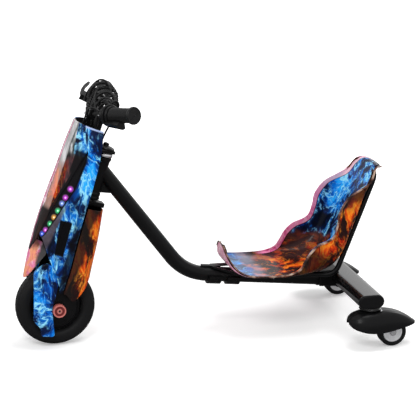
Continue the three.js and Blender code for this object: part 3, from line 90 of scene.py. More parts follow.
# Materials: a short way to write node trees
class Value:
    """What a node gives, to be reckoned with as a number; | takes the greater of two."""

    def __init__(self, tree, socket):
        self.tree, self.socket = tree, socket

    def __add__(self, other):
        return self.tree.math("ADD", self, other)

    def __sub__(self, other):
        return self.tree.math("SUBTRACT", self, other)

    def __mul__(self, other):
        return self.tree.math("MULTIPLY", self, other)

    def __or__(self, other):
        return self.tree.math("MAXIMUM", self, other)

    def __abs__(self):
        return self.tree.math("ABSOLUTE", self)

    def span(self, low, high):
        """Rises smoothly from 0 at low to 1 at high; low may be the greater."""
        return self.tree.node("MapRange", {0: self, 1: low, 2: high}, interpolation_type="SMOOTHSTEP")


class Tree:
    """The nodes of a material, or of the world, that lead to its shader."""

    def __init__(self, owner, shader="Principled BSDF"):
        owner.use_nodes = True
        self.owner, self.nodes, self.links = owner, owner.node_tree.nodes, owner.node_tree.links
        self.shader = self.nodes[shader]

    def put(self, socket, value):
        if isinstance(value, Value):
            self.links.new(value.socket, socket)
        else:
            socket.default_value = (*value, 1) if socket.type == "RGBA" else value

    def set(self, **values):
        for name, value in values.items():
            self.put(self.shader.inputs[name.replace("_", " ")], value)

    def node(self, kind, values, out=0, **settings):
        made = self.nodes.new("ShaderNode" + kind)
        for name, value in settings.items():
            setattr(made, name, value)
        for socket, value in values.items():
            self.put(made.inputs[socket], value)
        return Value(self, made.outputs[out])

    def place(self, scale=(1, 1, 1), turn=(0, 0, 0), shift=(0, 0, 0)):
        here = self.node("TexCoord", {}, "Object")
        return self.node("Mapping", {"Vector": here, "Location": shift, "Rotation": turn, "Scale": scale})

    def noise(self, size, detail=3.0, rough=0.5, distortion=0.0, place=None, out="Fac"):
        return self.node("TexNoise", {
            "Vector": place or self.place(), "Scale": size, "Detail": detail, "Roughness": rough,
            "Distortion": distortion,
        }, out)

    def drift(self, size, reach, place=None):
        """Wanders by up to half of the reach to either side."""
        return (self.noise(size, place=place) - 0.5) * reach

    def math(self, operation, a, b=0.0):
        return self.node("Math", {0: a, 1: b}, operation=operation)

    def vector(self, operation, a, b):
        second = "Scale" if operation == "SCALE" else 1
        return self.node("VectorMath", {0: a, second: b}, operation=operation)

    def distance(self, place):
        return self.node("VectorMath", {0: place}, "Value", operation="LENGTH")

    def ramp(self, factor, stops):
        made = self.nodes.new("ShaderNodeValToRGB")
        self.put(made.inputs[0], factor)
        points = made.color_ramp.elements
        points.remove(points[-1])
        points[0].position, points[0].color = stops[0][0], (*stops[0][1], 1)
        for place, colour in stops[1:]:
            points.new(place).color = (*colour, 1)
        return Value(self, made.outputs[0])

    def mix(self, factor, a, b):
        return self.node("Mix", {0: factor, 6: a, 7: b}, 2, data_type="RGBA")

    def layers(self, colour, *layers):
        """Lays colours over one another, each through its mask."""
        for mask, over in layers:
            colour = self.mix(mask, colour, over)
        return colour

    def axes(self):
        made = self.nodes.new("ShaderNodeSeparateXYZ")
        self.put(made.inputs[0], self.place())
        return [Value(self, socket) for socket in made.outputs]

    def mark(self, name, out="Fac"):
        return self.node("Attribute", {}, out, attribute_name=name)

    def ray(self, kind):
        return self.node("LightPath", {}, f"Is {kind} Ray")

    def bump(self, height, strength, distance=0.0003):
        self.set(Normal=self.node("Bump", {"Strength": strength, "Distance": distance, "Height": height}))


def surface(name):
    return Tree(bpy.data.materials.new(name))


# Each flame: its colours from the dark between the tongues upward, and that of its hot filaments
BLUE = (((0.0, (0.003, 0.005, 0.013)), (0.3, (0.003, 0.012, 0.07)), (0.5, (0.003, 0.045, 0.27)),
         (0.72, (0.003, 0.13, 0.6)), (0.9, (0.006, 0.27, 0.88)), (1.0, (0.02, 0.42, 0.98))), (0.38, 0.87, 1.0))
FIRE = (((0.0, (0.01, 0.006, 0.006)), (0.3, (0.03, 0.008, 0.007)), (0.45, (0.09, 0.008, 0.005)),
         (0.58, (0.3, 0.014, 0.004)), (0.75, (0.62, 0.04, 0.005)), (0.9, (0.85, 0.1, 0.006)),
         (1.0, (0.96, 0.26, 0.015))), (1.0, 0.4, 0.04))
ROSE = (((0.0, (0.24, 0.08, 0.12)), (0.3, (0.5, 0.24, 0.32)), (0.6, (0.76, 0.46, 0.54)),
         (1.0, (0.94, 0.74, 0.79))), (1.0, 0.95, 0.97))
PINK = (((0.0, (0.14, 0.01, 0.04)), (0.3, (0.42, 0.03, 0.13)), (0.6, (0.68, 0.08, 0.26)),
         (1.0, (0.86, 0.26, 0.46))), (1.0, 0.85, 0.91))
BLACK = (0.0045, 0.0045, 0.005)
INK = (0.003, 0.003, 0.004)
SOOT = (0.012, 0.006, 0.006)
LEANED = (0, LEAN, 0)
# Of the swirls that bend the tongues, and of the filaments: rate or strength against the flame's size
SWIRLS = ((0.6, 1.7), (3.2, 0.34))
FILAMENTS = ((1.3, 1.0, 0.032), (3.0, 0.35, 0.03))


def flames(tree, size, flame, low, high, stretch=2.0, turn=LEANED, shift=(0, 0, 0), heat=1.0):
    """Licking tongues drawn out along one direction, with thin branching hot filaments in them."""
    stops, hot = flame
    bent = tree.place((1, 1, 1 / stretch), turn, shift)
    for rate, reach in SWIRLS:
        swirl = tree.vector("SUBTRACT", tree.noise(rate * size, 2.0, place=bent, out="Color"), (0.5, 0.5, 0.5))
        bent = tree.vector("ADD", bent, tree.vector("SCALE", swirl, reach / size))
    body = tree.noise(size, 5.0, 0.62, 0.3, bent).span(low, high)
    colour = tree.ramp(body, stops)
    lit = body.span(0.2, 0.6)
    for rate, strength, width in FILAMENTS:
        ridge = abs(tree.noise(rate * size, 3.0, 0.55, 0.5, bent) - 0.5)
        colour = tree.layers(
            colour, (ridge.span(2.4 * width, 0.0) * lit * (0.4 * strength * heat), stops[-1][1]),
            (ridge.span(width, 0.0) * lit * (0.9 * strength * heat), hot),
        )
    return colour


def gloss(tree, colour, rough=0.22, coat=0.06):
    tree.set(Base_Color=colour, Roughness=rough, Specular_IOR_Level=0.06, Coat_Weight=coat, Coat_Roughness=0.06)
    tree.bump(tree.noise(60, 2.0), 0.04, 0.0005)
    return tree.owner


def dimmed(colour, share):
    return tuple(share * part for part in colour)


def plastic(name, colour, rough=0.42, grain=0.2, size=900.0, specular=0.12, low=0.7):
    tree = surface(name)
    cloud = tree.noise(18, 4.0)
    tree.set(Base_Color=tree.mix(cloud, dimmed(colour, low), colour), Specular_IOR_Level=specular,
             Roughness=cloud * 0.14 + (rough - 0.07))
    tree.bump(tree.noise(size, 2.0), grain)
    return tree.owner


def paint(name, colour, rough, coat, specular=0.12):
    tree = surface(name)
    cloud = tree.noise(9)
    tree.set(Base_Color=tree.mix(cloud, dimmed(colour, 0.6), colour), Specular_IOR_Level=specular,
             Roughness=cloud * 0.1 + rough, Coat_Weight=coat, Coat_Roughness=0.1)
    tree.bump(tree.noise(420, 2.0), 0.06)
    return tree.owner


def metal(name, colour, rough=0.26):
    tree = surface(name)
    streak = tree.noise(160, place=tree.place((1, 12, 1)))
    tree.set(Base_Color=tree.mix(streak, dimmed(colour, 0.75), colour), Metallic=1.0, Roughness=rough)
    tree.bump(streak, 0.08)
    return tree.owner


AXLE = Vector((0.409, 0, 0.105))
CAP_RADIUS = 17.5


def cap_material():
    """The axle cap's rings, by the distance from the wheel's axle."""
    tree = surface("cap_rings")
    away = tree.vector("MULTIPLY", tree.vector("SUBTRACT", tree.place(), AXLE), (1, 0, 1))
    rings = tree.ramp(tree.distance(away) * (1 / (CAP_RADIUS * MM)), (
        (0.0, INK), (0.15, INK), (0.2, (0.6, 0.2, 0.17)), (0.37, (0.55, 0.17, 0.14)),
        (0.43, (0.13, 0.006, 0.006)), (0.74, (0.16, 0.008, 0.008)), (0.81, (0.66, 0.2, 0.17)),
        (1.0, (0.5, 0.13, 0.11)),
    ))
    tree.set(Base_Color=rings, Roughness=0.3)
    tree.bump(tree.noise(700, 2.0), 0.08)
    return tree.owner


def side_material():
    """Blue flames; painted shade in the recess, a painted pale highlight along the top lip, and black beside the light
    strip.
    """
    tree = surface("blue_flames")
    side, rise = abs(tree.mark("side")), tree.mark("rise")
    across = side + tree.drift(40, 0.05)
    slant = side + (rise - 186) * 0.00076
    # Painted shade: the sunk grip recess is filled black, standing in for the shade inside it
    recess_shade = slant.span(0.7, 0.715) * side.span(0.885, 0.87) * rise.span(140, 145) * rise.span(240, 235)
    band = tree.mark("beside").span(0.05, 0.02) * rise.span(430, 400)
    ash = (across + rise * -0.0012).span(0.42, 0.36) * rise.span(300, 250)
    edge = across.span(0.9, 0.94) * rise.span(300, 200)
    cold = rise.span(455, 480) * tree.noise(60, place=tree.place((1, 1, 0.4), LEANED)).span(0.4, 0.52)
    smoke = tree.mix(tree.noise(50, 4.0), (0.02, 0.019, 0.022), (0.15, 0.12, 0.15))
    # Painted highlight: a pale blue-white line along the top lip
    lip = rise.span(484.5, 487.5)
    return gloss(tree, tree.layers(
        flames(tree, 17, BLUE, 0.35, 0.66), (cold * 0.85, (0.006, 0.012, 0.05)), (ash * 0.9, smoke),
        (edge * 0.9, INK), (band, INK), (recess_shade, INK), (lip * 0.85, (0.5, 0.62, 0.95)),
    ))


# The shield's facets: side shares of the first and second fold at height 0, and their fall per mm
FOLDS = ((0.246, 0.00042), (0.46, 0.0004))
FOLD_GAP = 0.085


def shield_material():
    """Rose and white in front, ash to fire beside it, blue at the top, black along the light strips."""
    tree = surface("rose_flames")
    side, rise = abs(tree.mark("side")), tree.mark("rise")
    drawn = tree.place((1, 1, 0.25), LEANED)
    wander = tree.drift(60, 0.07, drawn)
    stripe = tree.noise(75, 4.0, place=drawn)
    (first, first_fall), (second, second_fall) = FOLDS
    inside = side - (rise * -first_fall + first)
    beyond = side - (rise * -second_fall + second + wander)
    fire = flames(tree, 21, FIRE, 0.32, 0.66, 2.6, heat=0.5)
    grey = tree.ramp(stripe, (
        (0.36, (0.035, 0.045, 0.045)), (0.5, (0.2, 0.22, 0.22)), (0.64, (0.72, 0.72, 0.74)),
    ))
    brown = tree.ramp(stripe, (
        (0.36, (0.012, 0.01, 0.01)), (0.52, (0.06, 0.03, 0.035)), (0.68, (0.16, 0.05, 0.045)),
    ))
    pale = tree.layers(
        flames(tree, 20, ROSE, 0.3, 0.66, 3.4), (stripe.span(0.4, 0.56), (0.95, 0.86, 0.88)),
        ((side + wander).span(0.16, 0.05) * 0.75, flames(tree, 22, PINK, 0.25, 0.6, 3.0)),
    )
    # Beside the middle: pale over ash at the top, peach to fire lower down
    peach = tree.mix(0.45, fire, tree.mix(stripe, (0.75, 0.3, 0.22), (0.95, 0.7, 0.62)))
    beside = tree.mix((rise + wander * 400).span(395, 350), tree.mix(0.5, grey, (0.75, 0.72, 0.74)), peach)
    ragged = rise + wander * 300
    red = (beyond + wander * 0.5).span(0.16, 0.09)
    near = tree.layers(grey, (ragged.span(420, 400), brown), (ragged.span(395, 365) * red, fire))
    # The blue of the sides runs onto the shield's top corners
    corner = (side + wander + (rise - 410) * 0.0021).span(0.475, 0.49) * rise.span(408, 416)
    blue = flames(tree, 16, BLUE, 0.34, 0.62, shift=(0.1, 0, 0.2))
    # Painted shade: black lines in the fold grooves, broken into patches by noise
    crease_shade = abs(inside).span(0.014, 0.006) | abs(inside + FOLD_GAP).span(0.01, 0.004)
    crease_shade_patches = tree.noise(90, 2.0, place=drawn).span(0.38, 0.5)
    # Black runs along the strips, widens over their tops and closes where they meet
    below = rise.span(432, 420)
    top = side.span(0.5, 0.53) * below * rise.span(340, 380)
    band = tree.mark("beside").span(0.085, 0.06) * below
    foot = rise.span(262, 246) * (side + wander * 2.0).span(0.02, 0.07)
    return gloss(tree, tree.layers(
        pale, (inside.span(-0.004, 0.004), beside), (beyond.span(-0.012, 0.012), near), (corner, blue),
        (crease_shade * crease_shade_patches * 0.92, INK), ((band | top | foot) * 0.97, INK),
    ), 0.16, 0.1)


def guard_material():
    """Rose down the nose, smoke at its sides, black at its top."""
    tree = surface("smoke_and_rose")
    side, rise = abs(tree.mark("side")), tree.mark("rise")
    cloud = tree.noise(26)
    smoke = tree.mix(cloud, (0.02, 0.02, 0.022), (0.12, 0.11, 0.11))
    warm = tree.mix(0.4, flames(tree, 22, FIRE, 0.3, 0.55), (0.9, 0.5, 0.5))
    rose = tree.mix(cloud.span(0.42, 0.56), flames(tree, 22, PINK, 0.25, 0.6), warm)
    return gloss(tree, tree.layers(
        rose, ((side + cloud * 0.3).span(0.5, 0.6), smoke), ((rise + cloud * 60).span(165, 195) * 0.92, INK),
    ), 0.2)


def rear_material():
    """Fire down the rear, black toward the front."""
    tree = surface("orange_flames")
    x, _, z = tree.axes()
    # Across the leaned fork: 0 at its axis, negative to the rear
    across = (x - AXLE.x) * math.cos(LEAN) + (z - AXLE.z) * math.sin(LEAN)
    front = (across + tree.drift(30, 0.05, tree.place((1, 1, 0.5), LEANED))).span(-0.026, -0.01)
    fire = flames(tree, 22, FIRE, 0.3, 0.64, 2.4, heat=0.6)
    return gloss(tree, tree.mix(front * 0.93, fire, (0.012, 0.009, 0.008)))


def flange_pink(tree, z, share, pale):
    """Pink that pales toward the seat's top."""
    pink = flames(tree, 20, PINK, 0.15, 0.6, 1.5, heat=0.3)
    return tree.mix(z.span(0.33, 0.38) * share, pink, pale)


def seat_inside_material():
    """Fire on the floor, blue up the back and over the nose, black between the two; a painted pale sheen lies over the
    nose.
    """
    tree = surface("seat_inside_flames")
    x, y, z = tree.axes()
    wander = tree.drift(22, 0.06)
    high, front = z + wander, x + wander
    ash = tree.mix(tree.noise(40, 4.0), SOOT, (0.09, 0.035, 0.035))
    blue = flames(tree, 18, BLUE, 0.36, 0.67, 1.3)
    # Painted sheen: this pale grey-blue, and the pale blue mixed into the blue at the nose, lie over the seat's front
    painted_nose_sheen = tree.mix(tree.noise(30, 4.0), (0.1, 0.12, 0.2), (0.5, 0.52, 0.68))
    tip = x.span(-0.458, -0.468) * z.span(0.42, 0.43)
    # The far wing's flange: pink, with a dark fold line inside it
    edge = tree.mark("edge") + z.span(0.36, 0.4) * -12
    back = front.span(-0.17, -0.21)
    return gloss(tree, tree.layers(
        flames(tree, 20, FIRE, 0.35, 0.69, 0.4, heat=0.5), (high.span(0.196, 0.215) * 0.75, ash),
        ((y + wander).span(-0.03, -0.07) * 0.6, ash), (high.span(0.222, 0.236), blue),
        (front.span(-0.17, -0.13) * 0.6, painted_nose_sheen), (front.span(-0.125, -0.1), tree.mix(0.2, blue, (0.4, 0.6, 0.95))),
        (tip * 0.93, INK), (edge.span(26, 24) * back, (0.02, 0.006, 0.012)),
        (edge.span(23, 22) * back, flange_pink(tree, z, 0.6, (0.95, 0.78, 0.82))),
    ))


def seat_outside_material():
    """Fire up the near wing, black to its foot and front, pink on the far side and on the nose."""
    tree = surface("seat_outside_flames")
    x, y, z = tree.axes()
    pink = flames(tree, 20, PINK, 0.2, 0.6, 1.5)
    wander = tree.drift(24, 0.06)
    # Black below a line that falls toward the rear, and above the wing's shoulder
    dark = (z + x * -0.75 + wander).span(0.475, 0.43) | (z + x * 0.2 + wander).span(0.262, 0.29)
    rim = tree.mark("near").span(15, 13) * y.span(-0.06, -0.03)
    nose = tree.mix(rim, tree.mix(0.35, pink, (0.9, 0.6, 0.68)), (0.01, 0.006, 0.012))
    fire = flames(tree, 24, FIRE, 0.31, 0.64, 1.9, (0, -0.35, 0), heat=0.7)
    return gloss(tree, tree.layers(
        fire, (dark * 0.9, SOOT), (y.span(-0.08, -0.095), pink), (x.span(-0.1, -0.085), nose),
    ), 0.16)


def seat_rim_material():
    """A thin line round the shell, pale with painted highlight and dark by turns, pink on the far side."""
    tree = surface("seat_rim")
    _, y, z = tree.axes()
    # Painted highlight: the pale tones stand for light caught along the rim
    line = tree.ramp(tree.noise(45), ((0.35, (0.02, 0.012, 0.012)), (0.5, (0.16, 0.07, 0.05)),
                                      (0.65, (0.5, 0.36, 0.28))))
    return gloss(tree, tree.mix(y.span(-0.04, -0.06), line, flange_pink(tree, z, 0.5, (0.95, 0.75, 0.8))), 0.14)


def leg_material():
    tree = surface("leg_flames")
    return gloss(tree, flames(tree, 20, BLUE, 0.35, 0.66, 1.6, shift=(0.3, 0.2, 0.1)))


def lens_material():
    tree = surface("light_lens")
    glow = tree.mark("glow", "Color")
    tree.set(Base_Color=tree.mix(0.85, glow, (0.002, 0.002, 0.004)), Roughness=0.2,
             Emission_Color=glow, Emission_Strength=1.0)
    return tree.owner


materials = {
    "frame_paint": paint("frame_black", BLACK, 0.34, 0.02),
    "beam_gloss": paint("beam_black", BLACK, 0.16, 0.4, 0.4),
    "steel": metal("bright_steel", (0.7, 0.7, 0.72)),
    "black_plastic": plastic("moulded_black", (0.006, 0.006, 0.0065), 0.3, 0.12),
    "soft_rubber": plastic("soft_rubber", (0.007, 0.007, 0.0075), 0.34, 0.25, 700, 0.2),
    "tyre": plastic("tyre_rubber", (0.007, 0.007, 0.0075), 0.58, 0.4, 500, 0.16),
    "motor_black": paint("motor_black", BLACK, 0.38, 0.03),
    "controller_alloy": metal("cast_alloy", (0.4, 0.4, 0.42), 0.45),
    "smoke_plastic": guard_material(),
    "battery_wrap": plastic("battery_wrap", (0.03, 0.09, 0.26), 0.45, 0.2),
    "hub_white": plastic("hub_white", (0.72, 0.72, 0.74), 0.36, 0.1, 900, 0.4, 0.9),
    "cap_red": cap_material(),
    "light_strip": plastic("strip_black", (0.003, 0.003, 0.004), 0.12, 0.02, 900, 0.1),
    "side_print": side_material(),
    "rear_print": rear_material(),
    "shield_print": shield_material(),
    "seat_print": seat_inside_material(),
}

leg_print, lens_and_halo_glow = leg_material(), lens_material()
seat_outside, seat_rim = seat_outside_material(), seat_rim_material()

# Forms: vertices and faces in millimetres, in the directions of the frame that they are set in
CHASSIS = at(*AXLE, Matrix.Scale(MM, 4))
STEERING = at(*AXLE, turned(-LEAN, "Y")) @ Matrix.Scale(MM, 4)
TO_X, TO_Y, DOWN = turned(math.pi / 2, "Y"), turned(-math.pi / 2, "X"), turned(math.pi, "X")
TO_SIDE = {1: TO_Y, -1: TO_Y @ DOWN}
SIDES = (("left", 1), ("right", -1))


def mirrored(place, side):
    """A frame of the left side, or its mirror image for the right."""
    return place if side > 0 else place @ Matrix.Diagonal((1, -1, 1, 1))


def sided(point, side):
    return Vector((point.x, side * point.y, point.z))


def moved(form, matrix):
    return [matrix @ Vector(point) for point in form[0]], form[1]


def joined(*forms):
    points, faces = [], []
    for form in forms:
        start = len(points)
        points.extend(form[0])
        faces.extend([tuple(start + corner for corner in face) for face in form[1]])
    return points, faces


def signed(value, power):
    """A power of the value's size, with the value's sign."""
    return math.copysign(abs(value) ** power, value)


def ridge(away, width):
    return math.exp(-(away / width) ** 2)


def circle(count):
    return [2 * math.pi * step / count for step in range(count)]


def grid_faces(rows, columns, start=0, flip=False):
    faces = []
    for row in range(rows - 1):
        for column in range(columns - 1):
            a = start + row * columns + column
            face = (a, a + 1, a + columns + 1, a + columns)
            faces.append(face[::-1] if flip else face)
    return faces


def hoop_faces(rings, size):
    """The faces between closed rings of points, and from the last ring back to the first."""
    faces = []
    for ring in range(rings):
        here, there = ring * size, (ring + 1) % rings * size
        for point in range(size):
            after = (point + 1) % size
            faces.append((here + point, here + after, there + after, there + point))
    return faces


def sheet(front, back):
    """A closed body between two grids of points."""
    rows, columns = len(front), len(front[0])
    half = rows * columns
    points = [point for grid in (front, back) for row in grid for point in row]
    faces = grid_faces(rows, columns) + grid_faces(rows, columns, half, True)
    rim = list(range(columns)) + [row * columns + columns - 1 for row in range(1, rows)]
    rim += [(rows - 1) * columns + column for column in range(columns - 2, -1, -1)]
    rim += [row * columns for row in range(rows - 2, 0, -1)]
    for point, after in zip(rim, rim[1:] + rim[:1]):
        faces.append((point, half + point, half + after, after))
    return points, faces


def loft(rings):
    """A closed body through rings of the same number of points; its last two faces are its ends."""
    size = len(rings[0])
    points = [point for ring in rings for point in ring]
    faces = hoop_faces(len(rings), size)[:-size]
    return points, faces + [tuple(range(size)), tuple(range(len(points) - 1, len(points) - size - 1, -1))]


def curve(start, corner, end, steps):
    shares = [step / steps for step in range(steps + 1)]
    return [start * (1 - share) ** 2 + corner * 2 * share * (1 - share) + end * share ** 2 for share in shares]


def fillet(points, radius, steps):
    """Rounds the corners of a closed outline."""
    points = [Vector(point) for point in points]
    rounded = []
    for last, corner, following in zip(points[-1:] + points[:-1], points, points[1:] + points[:1]):
        before, after = last - corner, following - corner
        if before.length < 1e-6 or after.length < 1e-6:
            rounded.append(corner)
            continue
        reach = min(radius, 0.45 * before.length, 0.45 * after.length)
        rounded += curve(corner + before.normalized() * reach, corner, corner + after.normalized() * reach, steps)
    return rounded


def lathe(profile, segments, edge=0.0):
    """Turns a closed section of radius and height about Z."""
    section = fillet(profile, edge, 3) if edge else [Vector(point) for point in profile]
    size = len(section)
    points = [
        Vector((max(radius, 0) * math.cos(angle), max(radius, 0) * math.sin(angle), height))
        for angle in circle(segments) for radius, height in section
    ]
    return points, [
        face for face in hoop_faces(segments, size)
        if max(section[face[0] % size][0], section[face[1] % size][0]) >= 1e-4
    ]


def disc(radius, low, high, segments, edge=0.0):
    return lathe([
        (0, low), (radius - edge, low), (radius, low + edge), (radius, high - edge), (radius - edge, high), (0, high),
    ], segments)


def plate(points, low, high, axis="Y"):
    """An outline drawn in X and Z pulled along Y, or drawn in X and Y pulled along Z."""
    return loft([[Vector((a, t, b) if axis == "Y" else (a, b, t)) for a, b in points] for t in (low, high)])


def block(low, high):
    outline = [(low[0], low[2]), (high[0], low[2]), (high[0], high[2]), (low[0], high[2])]
    return plate(outline, low[1], high[1])


def swept(path, radius, sides, thread=0.0, pitch=1.0):
    """A round bar along points, with the frame carried along without twist."""
    tangents = [
        (path[min(index + 1, len(path) - 1)] - path[max(index - 1, 0)]).normalized() for index in range(len(path))
    ]
    side = tangents[0].cross(Vector((0, 0, 1)))
    if side.length < 0.2:
        side = tangents[0].cross(Vector((0, 1, 0)))
    rings, run, last = [], 0.0, path[0]
    for point, tangent in zip(path, tangents):
        side = (side - tangent * side.dot(tangent)).normalized()
        other = tangent.cross(side)
        run, last = run + (point - last).length, point
        ring = []
        for angle in circle(sides):
            reach = radius + thread * math.sin(2 * math.pi * run / pitch + angle)
            ring.append(point + side * reach * math.cos(angle) + other * reach * math.sin(angle))
        rings.append(ring)
    return loft(rings)


def bent(corners, reaches, steps=14):
    """A line through the corners that turns each of them in a bow of its reach."""
    corners = [Vector(corner) for corner in corners]
    path = [corners[0]]
    for before, corner, after, reach in zip(corners, corners[1:], corners[2:], reaches):
        start, end = (corner + (other - corner).normalized() * reach for other in (before, after))
        path += curve(start, corner, end, steps)
    return path + [corners[-1]]


def through(points, steps):
    """A smooth curve through the points."""
    points = [Vector(point) for point in points]
    path = []
    for a, b, c, d in zip(points[:1] + points, points, points[1:], points[2:] + points[-1:]):
        for t in (step / steps for step in range(steps)):
            path.append(
                0.5 * (2 * b + (c - a) * t + (2 * a - 5 * b + 4 * c - d) * t * t
                       + (3 * b - a - 3 * c + d) * t ** 3)
            )
    return path + [points[-1]]


def rows_at(table, at_row):
    """The two rows of a table that a place lies between, and the number of the second."""
    last = len(table) - 1
    index = next((row for row in range(1, last) if table[row][0] >= at_row), last)
    return table[index - 1], table[index], index


def straight(table, at_row, column=1):
    low, high, _ = rows_at(table, at_row)
    return low[column] + (high[column] - low[column]) * (at_row - low[0]) / (high[0] - low[0])


def along(table, at_row, column=1):
    """Reads a column of a table at a place between its rows, smoothly."""
    def slope(row):
        before, after = table[max(row - 1, 0)], table[min(row + 1, len(table) - 1)]
        return (after[column] - before[column]) / (after[0] - before[0])

    low, high, index = rows_at(table, at_row)
    run = high[0] - low[0]
    t = (at_row - low[0]) / run
    if t < 0 or t > 1:
        return straight(table, at_row, column)
    return (
        (2 * t ** 3 - 3 * t * t + 1) * low[column] + (t ** 3 - 2 * t * t + t) * run * slope(index - 1)
        + (3 * t * t - 2 * t ** 3) * high[column] + (t ** 3 - t * t) * run * slope(index)
    )


def numbered(rows):
    return [(index, *row) for index, row in enumerate(rows)]


def offset(grid, distance):
    """The grid's points moved square to its surface."""
    rows, columns = len(grid), len(grid[0])
    shifted = []
    for row in range(rows):
        line = []
        for column in range(columns):
            up = grid[min(row + 1, rows - 1)][column] - grid[max(row - 1, 0)][column]
            across = grid[row][min(column + 1, columns - 1)] - grid[row][max(column - 1, 0)]
            line.append(grid[row][column] + up.cross(across).normalized() * distance)
        shifted.append(line)
    return shifted


def bevelled(piece, width):
    modifier = piece.modifiers.new("bevel", "BEVEL")
    modifier.width, modifier.segments = width * MM, 2
    modifier.limit_method, modifier.angle_limit = "ANGLE", math.radians(30)


def make(name, form, place, node, finish=None, bevel=0.0, sharp=35, replaces=True, marks=None,
         weld=True, slot=None, extra=(), pick=None):
    """Makes a piece of the form, on the body and with the finish of a CAD node."""
    mesh = bpy.data.meshes.new(name)
    mesh.from_pydata([place @ Vector(point) for point in form[0]], [], form[1])
    for key, values in (marks or {}).items():
        if isinstance(values[0], tuple):
            layer = mesh.attributes.new(key, "FLOAT_COLOR", "POINT")
            layer.data.foreach_set("color", [part for value in values for part in value])
        else:
            mesh.attributes.new(key, "FLOAT", "POINT").data.foreach_set("value", values)
    kind = slot or slot_of_node[node]
    for material in (finish or materials[kind], *extra):
        mesh.materials.append(material)
    if pick:
        for polygon in mesh.polygons:
            polygon.material_index = pick(polygon)
    work = bmesh.new()
    work.from_mesh(mesh)
    if weld:
        bmesh.ops.remove_doubles(work, verts=work.verts, dist=1e-7)
    bmesh.ops.recalc_face_normals(work, faces=work.faces)
    work.to_mesh(mesh)
    work.free()
    mesh.polygons.foreach_set("use_smooth", [True] * len(mesh.polygons))
    mesh.set_sharp_from_angle(angle=math.radians(sharp))
    mesh.update()
    piece = linked(name, mesh)
    if bevel:
        bevelled(piece, bevel)
    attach(piece, body_of_node[node])
    if replaces:
        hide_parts(node)


# Carried-over CAD nodes get their finishes, and rounded edges where they are machined or moulded
for node, kind in slot_of_node.items():
    nodes[node].data.materials.clear()
    nodes[node].data.materials.append(materials["black_plastic" if node in ("brake_lever", "brake_perch") else kind])
for node, width in (
    ("frame_gusset", 1.0), ("beam_saddle", 1.5), ("seat_clamp_front", 0.8), ("seat_clamp_rear", 0.8),
    ("front_seat_bracket", 0.8), ("rear_seat_bracket", 1.5), ("lower_yoke", 0.8), ("upper_yoke", 0.8),
    ("fork_leg_left", 1.0), ("fork_leg_right", 1.0), ("stem", 1.0), ("front_axle", 0.6), ("brake_perch", 0.8),
    ("brake_lever", 1.6), ("battery_pack", 2.0), ("motor_controller", 0.6),
    ("caster_axle_left", 0.5), ("caster_axle_right", 0.5),
):
    nodes[node].modifiers.new("weld", "WELD").merge_threshold = 1e-6
    bevelled(nodes[node], width)

# Frame
HEAD_LOW, HEAD_HIGH, HEAD_RADIUS, HEAD_RIM = 312, 416, 23, 25
make("head_tube_turned", lathe([
    (17, HEAD_LOW), (HEAD_RIM, HEAD_LOW), (HEAD_RIM, HEAD_LOW + 7), (HEAD_RADIUS, HEAD_LOW + 9.5),
    (HEAD_RADIUS, HEAD_HIGH - 9.5), (HEAD_RIM, HEAD_HIGH - 7), (HEAD_RIM, HEAD_HIGH), (17, HEAD_HIGH),
], 64, 0.8), STEERING, "head_tube")
CUP_BORE, CUP_RADIUS = 14.5, 25.5
for node, low, high in (("lower_head_cup", 299, 311.7), ("upper_head_cup", 416.3, 427.3)):
    lip = (high - low) / 3
    make(f"{node}_turned", lathe([
        (CUP_BORE, low), (CUP_RADIUS - lip, low), (CUP_RADIUS, low + lip), (CUP_RADIUS, high - lip),
        (CUP_RADIUS - lip / 2, high), (CUP_BORE, high),
    ], 64, 0.9), STEERING, node)
make("steerer_turned", disc(14, 285, 437.3, 48, 1), STEERING, "steerer")
TUBE_RADIUS = 19.5
(bend_x, bend_z), (end_x, end_z) = (-352, 61.2), (-751, 18.5)
tube_path = bent([(-119, 0, 366.6), (bend_x, 0, bend_z), (end_x, 0, end_z)], [62], 24)
make("main_tube_bent", swept(tube_path, TUBE_RADIUS, 40), CHASSIS, "main_tube")


def tube_height(x):
    return bend_z + (bend_z - end_z) / (bend_x - end_x) * (x - bend_x)


# The weld bead at the saddle: overlapping drops round the tube
BEAD_X = -725
bead_up = Vector((-0.1, 0, 1)).normalized()
bead = [
    Vector((BEAD_X, TUBE_RADIUS * math.sin(angle), tube_height(BEAD_X))) + bead_up * TUBE_RADIUS * math.cos(angle)
    for angle in circle(120) + [2 * math.pi]
]
make("tube_weld_rear", swept(bead, 2.2, 10, 0.35, 3.2), CHASSIS, "main_tube", replaces=False)

# Crossbeam: a flat-sided round-ended section, closed by pressed-in caps
BEAM_X, BEAM_Z, BEAM_HALF, BEAM_DEPTH, BEAM_HEIGHT, BEAM_STEPS = -793, 25, 246, 70, 36, 16


def stadium(inset=0):
    """The section, or a smaller one inside it."""
    radius = BEAM_HEIGHT / 2 - inset
    points = []
    for side in (1, -1):
        for step in range(BEAM_STEPS + 1):
            angle = -math.pi / 2 + math.pi * step / BEAM_STEPS
            points.append((
                BEAM_X + side * ((BEAM_DEPTH - BEAM_HEIGHT) / 2 + radius * math.cos(angle)),
                BEAM_Z + side * radius * math.sin(angle),
            ))
    return points


make("crossbeam_drawn", plate(stadium(), -BEAM_HALF, BEAM_HALF), CHASSIS, "crossbeam", bevel=0.6)
beam_cap = joined(*(
    plate(stadium(inset), BEAM_HALF + low, BEAM_HALF + high)
    for inset, low, high in ((0, 0.3, 4.6), (2, 4.2, 6.3), (3.5, -14, 1))
))
for word, side in SIDES:
    make(f"beam_cap_{word}_moulded", beam_cap, mirrored(CHASSIS, side), f"beam_cap_{word}", bevel=0.9)

